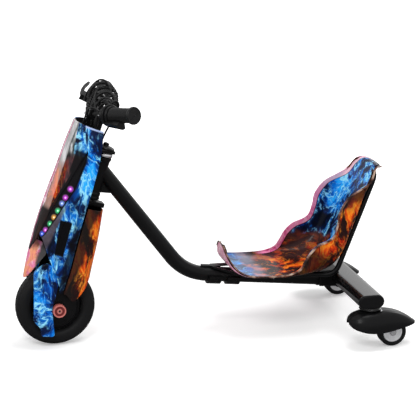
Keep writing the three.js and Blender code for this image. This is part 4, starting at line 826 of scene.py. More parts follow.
# Seat: the shell's stations from the nose to the curled top. Shares of its length and height
# at the middle, of its half width, and of its length and height at the rims
SEAT = (
    (0, 0.25, 0.14, 0.002, 0.236), (0.012, 0.16, 0.42, 0.014, 0.165), (0.036, 0.06, 0.7, 0.043, 0.086),
    (0.108, 0.012, 0.93, 0.099, 0.038), (0.225, 0, 0.99, 0.207, 0.021), (0.353, -0.007, 1, 0.33, 0.024),
    (0.463, -0.003, 1, 0.407, 0.059), (0.542, 0, 0.99, 0.443, 0.133), (0.596, 0.01, 0.985, 0.474, 0.213),
    (0.639, 0.045, 0.975, 0.524, 0.283), (0.67, 0.108, 0.965, 0.587, 0.321), (0.696, 0.192, 0.955, 0.625, 0.367),
    (0.733, 0.329, 0.94, 0.645, 0.465), (0.773, 0.479, 0.915, 0.658, 0.577), (0.811, 0.626, 0.85, 0.71, 0.694),
    (0.843, 0.745, 0.79, 0.785, 0.764), (0.873, 0.853, 0.74, 0.856, 0.824), (0.892, 0.91, 0.66, 0.882, 0.888),
    (0.906, 0.947, 0.56, 0.899, 0.926), (0.93, 0.963, 0.45, 0.924, 0.945), (0.966, 0.946, 0.3, 0.962, 0.932),
)
SEAT_TABLE = numbered(SEAT)
SEAT_FRONT, SEAT_LENGTH, SEAT_LOW, SEAT_HEIGHT, SEAT_HALF, SEAT_WALL, SEAT_FLANGE = -453, 445, 66, 286, 111, 4, 8
SEAT_ROWS, SEAT_COLUMNS, SEAT_LIP = 120, 56, 5


def seat_point(share, up):
    return Vector((SEAT_FRONT - share * SEAT_LENGTH, 0, SEAT_LOW + up * SEAT_HEIGHT))


def seat_line(station):
    """The section at a station, from the rolled lip on the far side to that on the near side."""
    length, up, width, rim_length, rim_up = (along(SEAT_TABLE, station, column) for column in range(1, 6))
    middle = seat_point(length, up)
    wall = seat_point(rim_length, rim_up) - middle
    # The section is squarer up the back
    power = 0.5 - 0.2 * min(max((station - 8) / 3, 0), 1)
    line = []
    for column in range(SEAT_COLUMNS + 1):
        # Columns crowd toward the rims, where the section turns fastest
        share = 2 * column / SEAT_COLUMNS - 1
        angle = math.pi / 2 * math.copysign(1 - (1 - abs(share)) ** 1.35, share)
        across = width * SEAT_HALF * signed(math.sin(angle), power)
        line.append(middle + wall * (1 - max(math.cos(angle), 0) ** power) + Vector((0, across, 0)))
    down = -wall.normalized()
    far, near = (
        [edge + Vector((0, side * SEAT_FLANGE * math.sin(turn), 0)) + down * (SEAT_FLANGE / 2) * (1 - math.cos(turn))
         for turn in (math.pi / 2 * step / SEAT_LIP for step in range(1, SEAT_LIP + 1))]
        for edge, side in ((line[0], -1), (line[-1], 1))
    )
    return far[::-1] + line + near


seat_inside = [seat_line((len(SEAT) - 1) * row / SEAT_ROWS) for row in range(SEAT_ROWS + 1)]
seat_columns = len(seat_inside[0]) - 1
seat_faces = SEAT_ROWS * seat_columns


def seat_side(polygon):
    """The inner face, the outer face, and the rolled lip on both of them."""
    column = polygon.index % seat_faces % seat_columns
    if polygon.index >= 2 * seat_faces or not SEAT_LIP - 1 <= column < seat_columns - SEAT_LIP + 1:
        return 2
    return polygon.index // seat_faces


# How far each point lies from the far and from the near wing's edge, along the section
edge_run, near_run = [], []
for line in seat_inside:
    runs = list(accumulate([0.0] + [(after - point).length for point, after in zip(line, line[1:])]))
    edge_run += runs
    near_run += [runs[-1] - run for run in runs]
make("seat_shell_moulded", sheet(seat_inside, offset(seat_inside, SEAT_WALL)), CHASSIS, "seat_shell",
     marks={"edge": edge_run * 2, "near": near_run * 2}, extra=(seat_outside, seat_rim), pick=seat_side, sharp=60,
     weld=False)

# The hoop that carries the seat's back; it stands on the foot of its CAD node's box
HOOP_X, HOOP_Y, HOOP_RADIUS = -648.3, 45, 7
low, high = seat_point(*SEAT[12][:2]), seat_point(*SEAT[17][:2])
rising = (high - low).normalized()
behind = Vector((-rising.z, 0, rising.x)) * 12
under = (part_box("seat_back_frame")[0][2] - AXLE.z) / MM + HOOP_RADIUS
high, low = high + behind, low + behind
low = low + rising * ((under - low.z) / rising.z)
hoop = bent([
    (HOOP_X, HOOP_Y, under), (low.x, 84, low.z), (high.x, 63, high.z),
    (high.x, -63, high.z), (low.x, -84, low.z), (HOOP_X, -HOOP_Y, under),
], [30, 30, 30, 30], 12)
make("seat_hoop_bent", swept(hoop, HOOP_RADIUS, 20), CHASSIS, "seat_back_frame")


def button(name, place, matrix, node, radius, height, slot="steel"):
    """A round-headed screw with a hexagon socket, its head's foot at the matrix's origin."""
    dip = 0.45 * radius
    profile = [(0, -1), (radius, -1), (radius, 0.3 * height)]
    profile += [(radius * math.cos(t), height * (0.3 + 0.7 * math.sin(t))) for t in (0.35, 0.7, 1.0, 1.25)]
    profile += [(dip, height * 0.98), (dip * 0.9, 0.35 * height), (0, 0.3 * height)]
    make(name, moved(lathe(profile, 24), matrix), place, node, slot=slot, replaces=False)


for word, side in SIDES:
    button(f"tube_screw_{word}", CHASSIS, at(-594, side * 19, tube_height(-594), TO_SIDE[side]), "main_tube", 4.2, 3.4)
for number, x in enumerate((-432, -484)):
    for word, side in SIDES:
        button(f"clamp_screw_{number}_{word}", CHASSIS, at(x, side * 27, tube_height(x) - 7, DOWN),
               "seat_clamp_front", 5, 4, "frame_paint")

# Steering column, stem and handlebar
make("steerer_cap_turned", lathe([
    (0, 437.6), (25.5, 437.6), (25.5, 440.3), (21.5, 443.6), (8, 445.6), (8, 451.6), (4, 453.6), (0, 453.6),
], 56, 1.1), STEERING, "steerer_cap")
BAR_HEIGHT, BAR_RADIUS, BORE = 520, 11.1, 11.4
BAR_CORNER, BAR_END = Vector((58, 30, BAR_HEIGHT)), Vector((2, 160, 565))
bar_path = bent([BAR_END, BAR_CORNER, sided(BAR_CORNER, -1), sided(BAR_END, -1)], [14, 14])
make("handlebar_bent", swept(bar_path, BAR_RADIUS, 28), STEERING, "handlebar")
for number, (up, side) in enumerate(((8.5, 1), (8.5, -1), (-8.5, 1), (-8.5, -1))):
    button(f"stem_screw_{number}", STEERING, at(75, side * 15, BAR_HEIGHT + up, TO_X), "stem", 3.6, 3.2)


def bar_axes(side):
    """The bar's end, and its directions outward and forward there."""
    end = sided(BAR_END, side)
    outward = (end - sided(BAR_CORNER, side)).normalized()
    return end, outward, (Vector((1, 0, 0)) - outward * outward.x).normalized()


def bar_end_place(side):
    end, outward, forward = bar_axes(side)
    return STEERING @ at(*end, Matrix((forward, outward.cross(forward), outward)).transposed().to_4x4())


# Grips: barrels with fine rings and a broad end flange with turned grooves
grip = [(BORE, -80), (21, -80), (20.6, -74)]
for step in range(24):
    spot = -71 + step * 2.6
    radius = 19.4 + 0.9 * max(0, (-45 - spot) / 26)
    grip += [(radius, spot), (radius - 0.7, spot + 0.9), (radius - 0.7, spot + 1.7), (radius, spot + 2.4)]
grip += [(19.5, -7), (22.2, -4.5), (23, -3), (23, 1.6), (22, 3.6), (21, 4)]
for ring in (18.5, 15, 11.5, 8, 4.5):
    grip += [(ring + 0.7, 4), (ring, 3.2), (ring - 0.9, 3.2), (ring - 1.6, 4)]
grip += [(0, 4), (0, 0.3), (BORE, 0.3)]
for word, side in SIDES:
    make(f"grip_{word}_ribbed", lathe(grip, 56), bar_end_place(side), f"grip_{word}", sharp=50)

# Throttle drum and bell
left_end = bar_end_place(1)
DRUM_TOP, DRUM_WIDTH, DRUM_RADIUS = -90, 22, 29
drum_low = DRUM_TOP - DRUM_WIDTH
make("throttle_drum_moulded", lathe([(BORE, drum_low)] + [
    (DRUM_RADIUS * radius, drum_low + DRUM_WIDTH * up)
    for radius, up in ((0.7, 0), (0.86, 0.17), (0.9, 0.5), (1, 0.67), (1, 0.92), (0.93, 1))
] + [(BORE, DRUM_TOP)], 64, 1.2), left_end, "throttle_housing")
BELL, BELL_HALF, CLAMP_RADIUS = -118.5, 5, 14.4
dome = [(0, 0)] + [(14 * math.cos(t * math.pi / 24), 12 * math.sin(t * math.pi / 24)) for t in range(13)]
bell_form = joined(
    lathe([(BORE, BELL - BELL_HALF), (CLAMP_RADIUS, BELL - BELL_HALF), (CLAMP_RADIUS, BELL + BELL_HALF),
           (BORE, BELL + BELL_HALF)], 40, 0.8),
    moved(disc(3, 10, 32.5, 20), at(0, 0, BELL, TO_SIDE[-1])),
    moved(lathe(dome, 48), at(0, -32, BELL, turned(math.pi / 2, "X"))),
)
make("bell_pressed", bell_form, left_end, "bell", bevel=0.5)
button("bell_clamp_screw", left_end, at(15, 4, BELL, TO_X), "bell", 3.0, 3.0)

# Cables: each leaves its control, loops over the bar, in shares of its height, and goes down behind the fairing
THROTTLE_LOOP = ((0.14, 0.085, 1.046), (0.146, 0.046, 1.09), (0.131, 0, 1.118), (0.135, -0.037, 1.108),
                 (0.145, -0.035, 1.062), (0.145, -0.013, 1.004), (0.144, -0.012, 0.946), (0.15, -0.01, 0.888))
BRAKE_LOOP = ((0.15, -0.096, 1.05), (0.152, -0.058, 1.103), (0.13, -0.02, 1.162), (0.095, 0.012, 1.165),
              (0.06, 0.04, 1.112), (0.035, 0.05, 1.05), (0.029, 0.05, 0.985), (0.037, 0.046, 0.919))
for name, side, start, ahead, loop, foot in (
    ("throttle_cable", 1, 112, 17.2, THROTTLE_LOOP, (82.16, 0, 423.3)),
    ("brake_cable", -1, 106.5, 31, BRAKE_LOOP, (22.8, 22.8, 437.3)),
):
    end, outward, forward = bar_axes(side)
    route = [end - outward * (start + run) + forward * ahead for run in (0.3, 9.3)]
    route += [Vector(row) * BAR_HEIGHT for row in loop] + [Vector(foot) + Vector((0, 0, up)) for up in (9, 0.3)]
    make(f"{name}_wound", swept(through(route, 28), 2.5, 12, 0.22, 4.2), STEERING, name)

# Sleeves, leads and hoses: from inside the fairing over the bar and back down to it
BUNDLE = (
    ("far_hose", 2.6, 0.3, 4.5, (
        (62, -14, 470), (66, -20, 501), (72, -30, 522), (72, -40, 549), (66, -45, 573), (58, -40, 590),
        (48, -25, 600), (38, -5, 600), (26, 5, 593), (16, 8, 570), (24, 6, 545))),
    ("wide_sleeve", 5.2, 0.8, 6.5, (
        (62, 6, 474), (68, 5, 506), (76, 0, 533), (73, -10, 560), (63, -12, 579), (47, -5, 591), (30, 5, 592),
        (17, 10, 580), (16, 14, 556), (30, 14, 534))),
    ("throttle_lead", 4.6, 0.4, 4.5, (
        (58, 14, 476), (62, 15, 508), (72, 15, 538), (68, 10, 561), (56, 10, 577), (41, 15, 584), (28, 25, 579),
        (22, 33, 562), (30, 36, 540))),
    ("lamp_lead", 3.6, 0.3, 4.0, (
        (54, 26, 476), (58, 30, 510), (66, 30, 538), (62, 30, 557), (52, 35, 570), (38, 45, 571), (30, 52, 558),
        (36, 52, 542))),
    ("switch_lead", 3.2, 0.25, 4.0, (
        (52, 38, 478), (54, 45, 512), (60, 45, 535), (58, 50, 553), (48, 60, 562), (40, 66, 556), (38, 66, 545))),
    ("bell_lead", 2.4, 0.2, 4.0, (
        (64, 10, 478), (78, 22, 512), (84, 34, 530), (80, 52, 540), (64, 66, 538), (52, 62, 532))),
    ("crown_lead", 4.4, 0.4, 5.0, (
        (62, -6, 480), (75.1, -10, 536.6), (79.7, -12, 554), (81, -12, 572.8), (75.3, -10, 587.9),
        (63.8, -8, 598.1), (49, -5, 601.7), (32.1, 0, 597), (18, 5, 584.2), (10.8, 10, 566.8))),
    ("near_sleeve", 4.8, 0.5, 5.0, (
        (50, 20, 484), (52, 20, 512), (50, 20, 540), (43, 20, 562), (34, 20, 577), (22, 20, 578), (14, 22, 562),
        (20, 24, 540))),
    ("near_hose", 3.4, 0.3, 4.5, (
        (56, 44, 484), (60, 48, 515), (57, 52, 538), (46, 56, 552), (36, 56, 566), (24, 50, 572), (14, 46, 560),
        (22, 44, 540))),
)
for name, radius, thread, pitch, route in BUNDLE:
    make(name, swept(through(route, 20), radius, 12, thread, pitch), STEERING, "handlebar", slot="soft_rubber",
         replaces=False)

# Thumb paddle: a collar on the bar with a deep curved blade below the grip
BLADE = ((-88.7, 22, 31, 36), (-72, 20.6, 33, 34), (-54, 19.8, 35, 30), (-39, 19.8, 37, 26))
rings = []
for axial, inner, outer, reach in BLADE:
    spots = [(share, math.radians(90 + reach * share)) for share in (step / 6 - 1 for step in range(13))]
    section = [(outer * (1 - 0.1 * abs(share) ** 3), angle) for share, angle in spots]
    section += [(inner, angle) for share, angle in reversed(spots)]
    rings.append([Vector((radius * math.cos(angle), radius * math.sin(angle), axial)) for radius, angle in section])
collar = lathe([(11.7, -88.7), (23.5, -88.7), (25, -87), (25, -82), (23.5, -80.4), (11.7, -80.4)], 56, 0.5)
make("throttle_lever_moulded", joined(collar, loft(rings)), left_end, "throttle_lever", bevel=1.2)

# Fairing skin: share of the height, of the ridge's reach, of the rear edge's reach, of the half width
SKIN = ((0, 0.88, 0.051, 0.84), (0.211, 0.974, 0.068, 0.88), (0.391, 1, 0.12, 0.947), (0.587, 0.983, 0.154, 0.987),
        (0.674, 0.957, 0.154, 1), (0.87, 0.923, 0.205, 0.973), (1, 0.872, 0.308, 0.933))
SKIN_LOW, SKIN_HIGH, SKIN_REACH, SKIN_HALF, WALL = 30, 490, 117, 75, 3
SHIELD_LOW, SIDE_LOW = 130, 46
# The channel of a light strip, and the front edge of a side shell: share of the height, share round the side
CHANNEL = ((0.2, 0.05), (0.339, 0.36), (0.63, 0.64), (0.861, 0.77), (1, 0.54))
CHANNEL_HALF = ((0, 0.06), (0.25, 0.085), (0.6, 0.075), (1, 0.02))
STRIP_LOW, STRIP_HIGH, STRIP_RAMP, STRIP_GAP, SIDE_REAR = 178, 420, 12, 0.003, 0.997
SIDE_FRONT = ((0, 0.97), (0.065, 0.95), (0.152, 0.82), (0.213, 0.66), (0.261, 0.55), (0.322, 0.373))


def skin_share(height):
    return (height - SKIN_LOW) / (SKIN_HIGH - SKIN_LOW)


def skin_height(share):
    return SKIN_LOW + share * (SKIN_HIGH - SKIN_LOW)


def skin_point(side, height):
    share = skin_share(height)
    reach, rear, half = (along(SKIN, share, column) for column in (1, 2, 3))
    angle = side * math.pi / 2
    return Vector((
        SKIN_REACH * (rear + (reach - rear) * max(math.cos(angle), 0) ** 0.8),
        SKIN_HALF * half * signed(math.sin(angle), 1.1),
        height,
    ))


def skin_inside(side, height, depth):
    step = 0.006
    across = skin_point(side + step, height) - skin_point(side - step, height)
    up = skin_point(side, height + 1) - skin_point(side, height - 1)
    return skin_point(side, height) + up.cross(across).normalized() * depth


def smooth(value, low, high):
    share = min(max((value - low) / (high - low), 0), 1)
    return share * share * (3 - 2 * share)


def channel_at(height):
    return straight(CHANNEL, skin_share(height))


def channel_half(height):
    return straight(CHANNEL_HALF, min(max((height - STRIP_LOW) / (STRIP_HIGH - STRIP_LOW), 0), 1))


def opening_at(height):
    beyond = max(height - STRIP_HIGH, STRIP_LOW - height, 0) / STRIP_RAMP
    return max(channel_half(height) * (1 - beyond), 0) + STRIP_GAP


def spread(low, high, count):
    return [low + (high - low) * step / count for step in range(count + 1)]


def inner_face(half):
    """Picks the second material for the faces of the inner grid."""
    return lambda polygon: 1 if half <= polygon.index < 2 * half else 0


def skin_piece(name, node, heights, first, last, columns, depth, wall=WALL, side=1, base=0.0):
    """A moulded sheet of the skin: its faces sink by depth(side share, height, share across)."""
    outer, inner, sides, rises, beside = [], [], [], [], []
    for height in heights:
        start, end = first(height), last(height)
        front, back = [], []
        for across in spread(0, 1, columns):
            share = start + (end - start) * across
            sunk = base + depth(share, height, across)
            front.append(skin_inside(share, height, sunk))
            back.append(skin_inside(share, height, max(sunk, base) + wall))
            sides.append(share)
            rises.append(height)
            beside.append(max(abs(abs(share) - channel_at(height)) - channel_half(height), 0))
        outer.append(front)
        inner.append(back)
    make(name, sheet(outer, inner), mirrored(STEERING, side), node, weld=False, sharp=50,
         marks={"side": sides * 2, "rise": rises * 2, "beside": beside * 2},
         extra=(materials["black_plastic"],), pick=inner_face((len(outer) - 1) * columns))


def edge_round(across, height, low, width_share):
    """Rounds the four edges of a skin piece, 0.9 deep."""
    near = min(across, 1 - across) / width_share
    rim = min(height - low, SKIN_HIGH - height) / 2.0
    return 0.9 * ((1 - min(near, 1)) ** 2 + (1 - min(max(rim, 0), 1)) ** 2)


# Front shield: a narrow middle facet between two grooves, and a broad facet beside each
def shield_depth(share, height, across):
    first, second = (abs(share) - start + fall * height for start, fall in FOLDS)
    groove = ridge(first, 0.012) + 0.7 * ridge(first + FOLD_GAP, 0.01)
    lower = smooth(height, 134, 170)
    return (1.1 * groove + 0.5 * ridge(second, 0.02)) * lower + edge_round(across, height, SHIELD_LOW, 0.02)


def shield_edge(height):
    return channel_at(height) - opening_at(height)


skin_piece("front_shield_moulded", "front_shield", spread(SHIELD_LOW, SKIN_HIGH, 170), lambda h: -shield_edge(h),
           shield_edge, 96, shield_depth)


# Side shells: a sunk grip recess, and a raised border down the rear edge
def side_front(height):
    if height < STRIP_LOW:
        return straight(SIDE_FRONT, skin_share(height))
    return channel_at(height) + opening_at(height)


def side_depth(share, height, across):
    recess = smooth(share, 0.735, 0.755) * (1 - smooth(share, 0.865, 0.885))
    recess *= smooth(height, 140, 146) * (1 - smooth(height, 236, 242))
    border = 0.7 * ridge(share - 0.9, 0.008) - 0.7 * smooth(share, 0.9, 0.915)
    return 3.2 * recess + border + edge_round(across, height, SIDE_LOW, 0.03)


for word, side in SIDES:
    skin_piece(f"side_shell_{word}_moulded", f"side_shell_{word}", spread(SIDE_LOW, SKIN_HIGH, 190), side_front,
               lambda h: SIDE_REAR, 72, side_depth, side=side)


# Light strips: a sunk glossy band with a domed lens for each lamp
def strip_depth(share, height, across):
    return 0.175 * math.cos(math.pi * (2 * across - 1)) + 0.2


# Height, share round the side, colour
LAMPS = (
    (322, 0.658, (0.75, 0.06, 0.9)), (296.5, 0.626, (0.75, 0.05, 0.85)), (279, 0.597, (0.2, 0.35, 1.0)),
    (257, 0.564, (0.03, 0.75, 0.25)), (237, 0.528, (0.95, 0.42, 0.04)), (217, 0.487, (0.02, 0.7, 0.22)),
    (197, 0.43, (0.75, 0.05, 0.8)), (184, 0.375, (0.04, 0.12, 1.0)),
)
HALO, LENS, DOME, LAMP_DEPTH, RINGS, SPOKES = 9.4, 2.6, 1.3, 0.85, 9, 24


def lamp_form(height, share, colour):
    """A domed lens in its halo of painted glow on the strip, and the light of each of their points."""
    centre = skin_inside(share, height, LAMP_DEPTH)
    before, after = (skin_inside(share + step, height, LAMP_DEPTH) for step in (-0.01, 0.01))
    across = (after - before).normalized()
    outward = (skin_inside(share, height, 0) - centre).normalized()
    up = outward.cross(across)
    rings, glow = [], []
    for reach in spread(0, HALO, RINGS)[1:]:
        dome = DOME * math.sqrt(1 - (reach / LENS) ** 2) if reach < LENS else 0.12 * (1 - reach / HALO)
        # The halo lies on the curved skin
        level = centre + outward * (dome - reach * reach / 340)
        # Painted glow: beyond the lens the lamp's colour fades outward over the strip
        fade = max(1 - reach / HALO, 0) ** 1.3
        white = max(1 - reach / (0.9 * LENS), 0) ** 0.8
        glow += [(*(min(1.0, part * fade * 1.3 + white) for part in colour), 1.0)] * SPOKES
        rings.append([level + (across * math.cos(turn) + up * math.sin(turn)) * reach for turn in circle(SPOKES)])
    rings.append([point - outward * 0.6 for point in rings[-1]])
    points, faces = loft(rings)
    # The dome's top takes the place of the first ring's flat end
    fan = [(len(points), spoke, (spoke + 1) % SPOKES) for spoke in range(SPOKES)]
    glow += [(0.0, 0.0, 0.0, 1.0)] * SPOKES + [(1.0, 0.96, 1.0, 1.0)]
    return (points + [centre + outward * DOME], faces[:-2] + faces[-1:] + fan), glow


lamps = [lamp_form(*lamp) for lamp in LAMPS]
for word, side in SIDES:
    skin_piece(f"light_strip_{word}_moulded", f"light_strip_{word}", spread(STRIP_LOW + 0.3, STRIP_HIGH - 0.3, 90),
               lambda h: channel_at(h) - channel_half(h) + STRIP_GAP,
               lambda h: channel_at(h) + channel_half(h) - STRIP_GAP, 20, strip_depth, wall=2, side=side, base=1)
    make(f"light_lenses_{word}", joined(*(form for form, glow in lamps)), mirrored(STEERING, side),
         f"light_strip_{word}", finish=lens_and_halo_glow, marks={"glow": [value for form, glow in lamps for value in glow]},
         replaces=False, weld=False, sharp=70)

# Nose guard: closes the front between the shield's tip and the tyre
GUARD_SIDE, GUARD_ROWS, GUARD_COLUMNS = 0.58, 40, 80
front_falling = [(-share, height) for height, share in SIDE_FRONT]


def guard_cell(row, column, depth):
    side = GUARD_SIDE * (2 * column / GUARD_COLUMNS - 1)
    away = abs(side)
    (tip, tip_share), (bend, bend_share) = CHANNEL[:2]
    seam = skin_height(tip + (bend - tip) * max((away - tip_share) / (bend_share - tip_share), 0))
    edge = skin_height(straight(front_falling, -max(away, SIDE_FRONT[-1][1])))
    high = min(max(seam, SHIELD_LOW) - 1.4, 164, edge - 2.8)
    low = 52 + 84 * (away / GUARD_SIDE) ** 2
    height = low + (high - low) * row / GUARD_ROWS
    rim = min(row, GUARD_ROWS - row) / 2
    # A fold runs down each side of the nose
    sunk = depth + 0.8 * (1 - min(rim, 1)) ** 2 + 1.3 * ridge(away - 0.2, 0.02)
    return skin_inside(side, height, sunk), side, height


outer, inner = (
    [[guard_cell(row, column, depth) for column in range(GUARD_COLUMNS + 1)] for row in range(GUARD_ROWS + 1)]
    for depth in (0, WALL)
)
make("nose_guard_moulded", sheet(*([[cell[0] for cell in row] for row in grid] for grid in (outer, inner))),
     STEERING, "nose_guard", weld=False, sharp=50,
     marks={name: [cell[part] for row in outer for cell in row] * 2 for name, part in (("side", 1), ("rise", 2))})

# Leg covers: a rounded outline with a crowned face
LEG = ((1.04, 0.636), (0.6, -0.348), (0.34, -0.455), (0.272, -0.606), (-0.12, -0.545), (0.1, -0.18), (0.215, 0),
       (0.205, 0.152), (0.24, 0.5), (0.4, 0.82), (0.56, 0.85), (0.8, 0.86))
LEG_REACH, LEG_RISE, LEG_LOW, LEG_HIGH, LEG_EDGE = 92, 132, 46.3, 55.8, 5.5


def inset(points, distance):
    result = []
    for before, point, after in zip(points[-1:] + points[:-1], points, points[1:] + points[:1]):
        arrive, leave = (point - before).normalized(), (after - point).normalized()
        inward = Vector((arrive.y + leave.y, -arrive.x - leave.x)).normalized()
        square = max(abs(inward.x * arrive.y - inward.y * arrive.x), 0.5)
        result.append(point + inward * distance / square)
    return result


outline = fillet([(x * LEG_REACH, z * LEG_RISE) for x, z in LEG], 9, 6)
rings = [[Vector((p.x, LEG_LOW, p.y)) for p in outline]]
for share in (0, 0.12, 0.3, 0.5, 0.7, 0.86, 1.0):
    sunk = 4.2 * (1 - math.sqrt(max(1 - share ** 2, 0)))
    level = LEG_LOW + LEG_EDGE + (LEG_HIGH - LEG_LOW - LEG_EDGE) * math.sin(share * math.pi / 2)
    rings.append([Vector((p.x, level, p.y)) for p in inset(outline, sunk)])
for word, side in SIDES:
    make(f"leg_cover_{word}_moulded", loft(rings), mirrored(STEERING, side), f"leg_cover_{word}", finish=leg_print,
         sharp=50)

# Rear cover: wraps the back of the fork above the wheel, with a flap down each side.
# Share of the height, of the back's reach, of the front edges' reach, of the half width; and how far each side falls
REAR = ((0, 0.91, 0.04, 0.78), (0.078, 1, 0.05, 0.79), (0.183, 0.91, 0.06, 0.83), (0.391, 0.76, 0.16, 0.91),
        (0.554, 0.58, 0.2, 0.945))
REAR_DROP = ((0, 1), (0.3, 1), (0.5, 0.67), (0.72, 0.33), (1, 0.48))
REAR_REACH, REAR_HIGH, REAR_FALL, REAR_ROWS, REAR_COLUMNS = 66, 284.4, 98, 80, 120


def rear_point(row, column):
    side = 2 * column / REAR_COLUMNS - 1
    low = REAR_FALL * along(REAR_DROP, abs(side))
    height = low + (REAR_HIGH - low) * row / REAR_ROWS
    back, front, half = (along(REAR, skin_share(height), part) for part in (1, 2, 3))
    angle = side * math.pi / 2
    return Vector((
        REAR_REACH * (front - (front + back) * max(math.cos(angle), 0) ** 0.75),
        SKIN_HALF * half * signed(math.sin(angle), 0.7),
        height,
    ))


rear_grid = [[rear_point(row, column) for column in range(REAR_COLUMNS + 1)] for row in range(REAR_ROWS + 1)]
make("rear_cover_moulded", sheet(rear_grid, offset(rear_grid, -WALL)), STEERING, "rear_cover", weld=False, bevel=0.8,
     sharp=50, extra=(materials["black_plastic"],), pick=inner_face(REAR_ROWS * REAR_COLUMNS))

# Axle caps
CAP_LOW, CAP_HIGH, CAP_BORE, CAP_FLOOR = 46.3, 63.3, 11.6, 56.9
cap_profile = [(CAP_BORE, CAP_LOW), (15.5, CAP_LOW), (CAP_RADIUS, CAP_LOW + 2), (CAP_RADIUS, CAP_HIGH - 2),
               (16.5, CAP_HIGH), (14.4, CAP_HIGH), (13.6, CAP_HIGH - 2), (6.4, CAP_HIGH - 2), (5.8, CAP_HIGH - 0.4),
               (4.6, CAP_HIGH - 0.4), (4.2, CAP_HIGH - 2), (0, CAP_HIGH - 2), (0, CAP_FLOOR), (CAP_BORE, CAP_FLOOR)]
for word, side in SIDES:
    make(f"axle_cap_{word}_turned", moved(lathe(cap_profile, 56, 0.5), TO_Y), mirrored(STEERING, side),
         f"axle_cap_{word}", sharp=40)

# Front tyre: a flattened round, with circumferential grooves and slanting sipes across the tread
WHEEL, RIM, TYRE_HALF, TYRE_TURNS, TYRE_COLUMNS = 105, 63, 29, 360, 100
bead_radius = RIM + 0.3
section = []
for index in range(TYRE_COLUMNS + 1):
    angle = (2 * index / TYRE_COLUMNS - 1) * math.pi * 0.83
    radius = bead_radius + (WHEEL - bead_radius) * (0.5 + 0.5 * signed(math.cos(angle), 0.75))
    section.append((min(radius, WHEEL), TYRE_HALF * signed(math.sin(angle), 0.72)))
points = []
for step, turn in enumerate(circle(TYRE_TURNS)):
    for radius, across in section:
        away = abs(across) / TYRE_HALF
        tread = 1 - smooth(away, 0.78, 0.9)
        grooves = max(ridge(abs(across) - place, 0.75) for place in (2.6, 8.2, 13.8, 18.6))
        sipe = smooth(away, 0.14, 0.2) if (step + abs(across) * 0.9) % 10 < 2.2 else 0
        wall_ring = 0.5 * (ridge(radius - 84, 1.2) + ridge(radius - 74, 1.2))
        sunk = tread * max(1.7 * grooves, 1.1 * sipe) + (1 - tread) * wall_ring
        reach = radius - sunk * (1 if radius > 90 else 0.2)
        points.append(Vector((reach * math.cos(turn), across, reach * math.sin(turn))))
make("front_tyre_treaded", (points, hoop_faces(TYRE_TURNS, len(section))), STEERING, "front_tyre", weld=False, sharp=40)


def both_ways(half):
    """A section of radius and distance across, with its mirror image."""
    return half + [(radius, -across) for radius, across in reversed(half)]


# Hub motor: stepped covers with a ring of screws on each side
hub = both_ways([(7.5, 34), (20, 34), (21.5, 31.5), (24, 31), (0.6 * RIM, 30), (0.78 * RIM, 28), (0.84 * RIM, 26.5),
                 (0.88 * RIM, 22), (0.93 * RIM, 20.4), (RIM, 19)])
SCREW_CIRCLE, SCREW_FOOT = 45, 27.8
head = plate([(3 * math.cos(angle), 3 * math.sin(angle)) for angle in circle(6)], -1, 2.4, "Z")
heads = [
    moved(head, at(SCREW_CIRCLE * math.cos(angle), side * SCREW_FOOT, SCREW_CIRCLE * math.sin(angle), TO_SIDE[side]))
    for side in (1, -1) for angle in circle(8)
]
make("hub_motor_turned", joined(moved(lathe(hub, 96, 0.8), TO_Y), *heads), STEERING, "hub_motor")

# Casters: share of the tail's reach, of the half width, of the deck height below and above
HOUSING = ((0.488, 0.2, 0.656, 0.763), (0.432, 0.6, 0.589, 0.84), (0.304, 0.89, 0.531, 0.927),
           (0.096, 1, 0.473, 0.985), (-0.144, 0.978, 0.454, 1), (-0.384, 0.867, 0.473, 0.975),
           (-0.608, 0.756, 0.512, 0.902), (-0.816, 0.6, 0.55, 0.772), (-0.952, 0.356, 0.57, 0.656),
           (-1, 0.133, 0.589, 0.613))
HOUSING_TABLE = numbered(HOUSING)
CASTER_X, CASTER_Y = -0.389, 0.225
TAIL, DECK, HOUSING_HALF, TRAIL, CASTER_RADIUS = 125, 103.6, 45, 61, 37.5
HOUSING_ROWS, ARCH_STEPS = 72, 40


def housing_ring(row, inner):
    spot = (len(HOUSING) - 1) * row / HOUSING_ROWS
    x, half, low, high = (along(HOUSING_TABLE, spot, column) for column in (1, 2, 3, 4))
    x, half, low, high = x * TAIL, min(half, 1) * HOUSING_HALF, low * DECK, high * DECK
    if inner:
        x -= math.copysign(min(3, abs(x) / 20), x)
        half, high = max(half - 3, 1.5), high - 3
    front = smooth(x, 18, 44)
    spine = smooth(-x, 20, 60) * (1 - smooth(-x, 104, 120))
    ring = []
    for step in range(ARCH_STEPS + 1):
        angle = math.pi * step / ARCH_STEPS
        rise = max(math.sin(angle), 0)
        y, z = half * signed(math.cos(angle), 0.8), low + (high - low) * rise ** 0.75
        if not inner:
            # Upright pleats at the front, and two lines beside the spine toward the tail
            pleat = 0.9 * front * (0.5 - 0.5 * math.cos(14 * angle)) * rise ** 0.5
            y *= 1 - pleat / HOUSING_HALF
            z -= pleat + 0.8 * spine * sum(ridge(angle - math.pi / 2 + turn, 0.06) for turn in (-0.35, 0.35))
        ring.append(Vector((x, y, z)))
    return ring


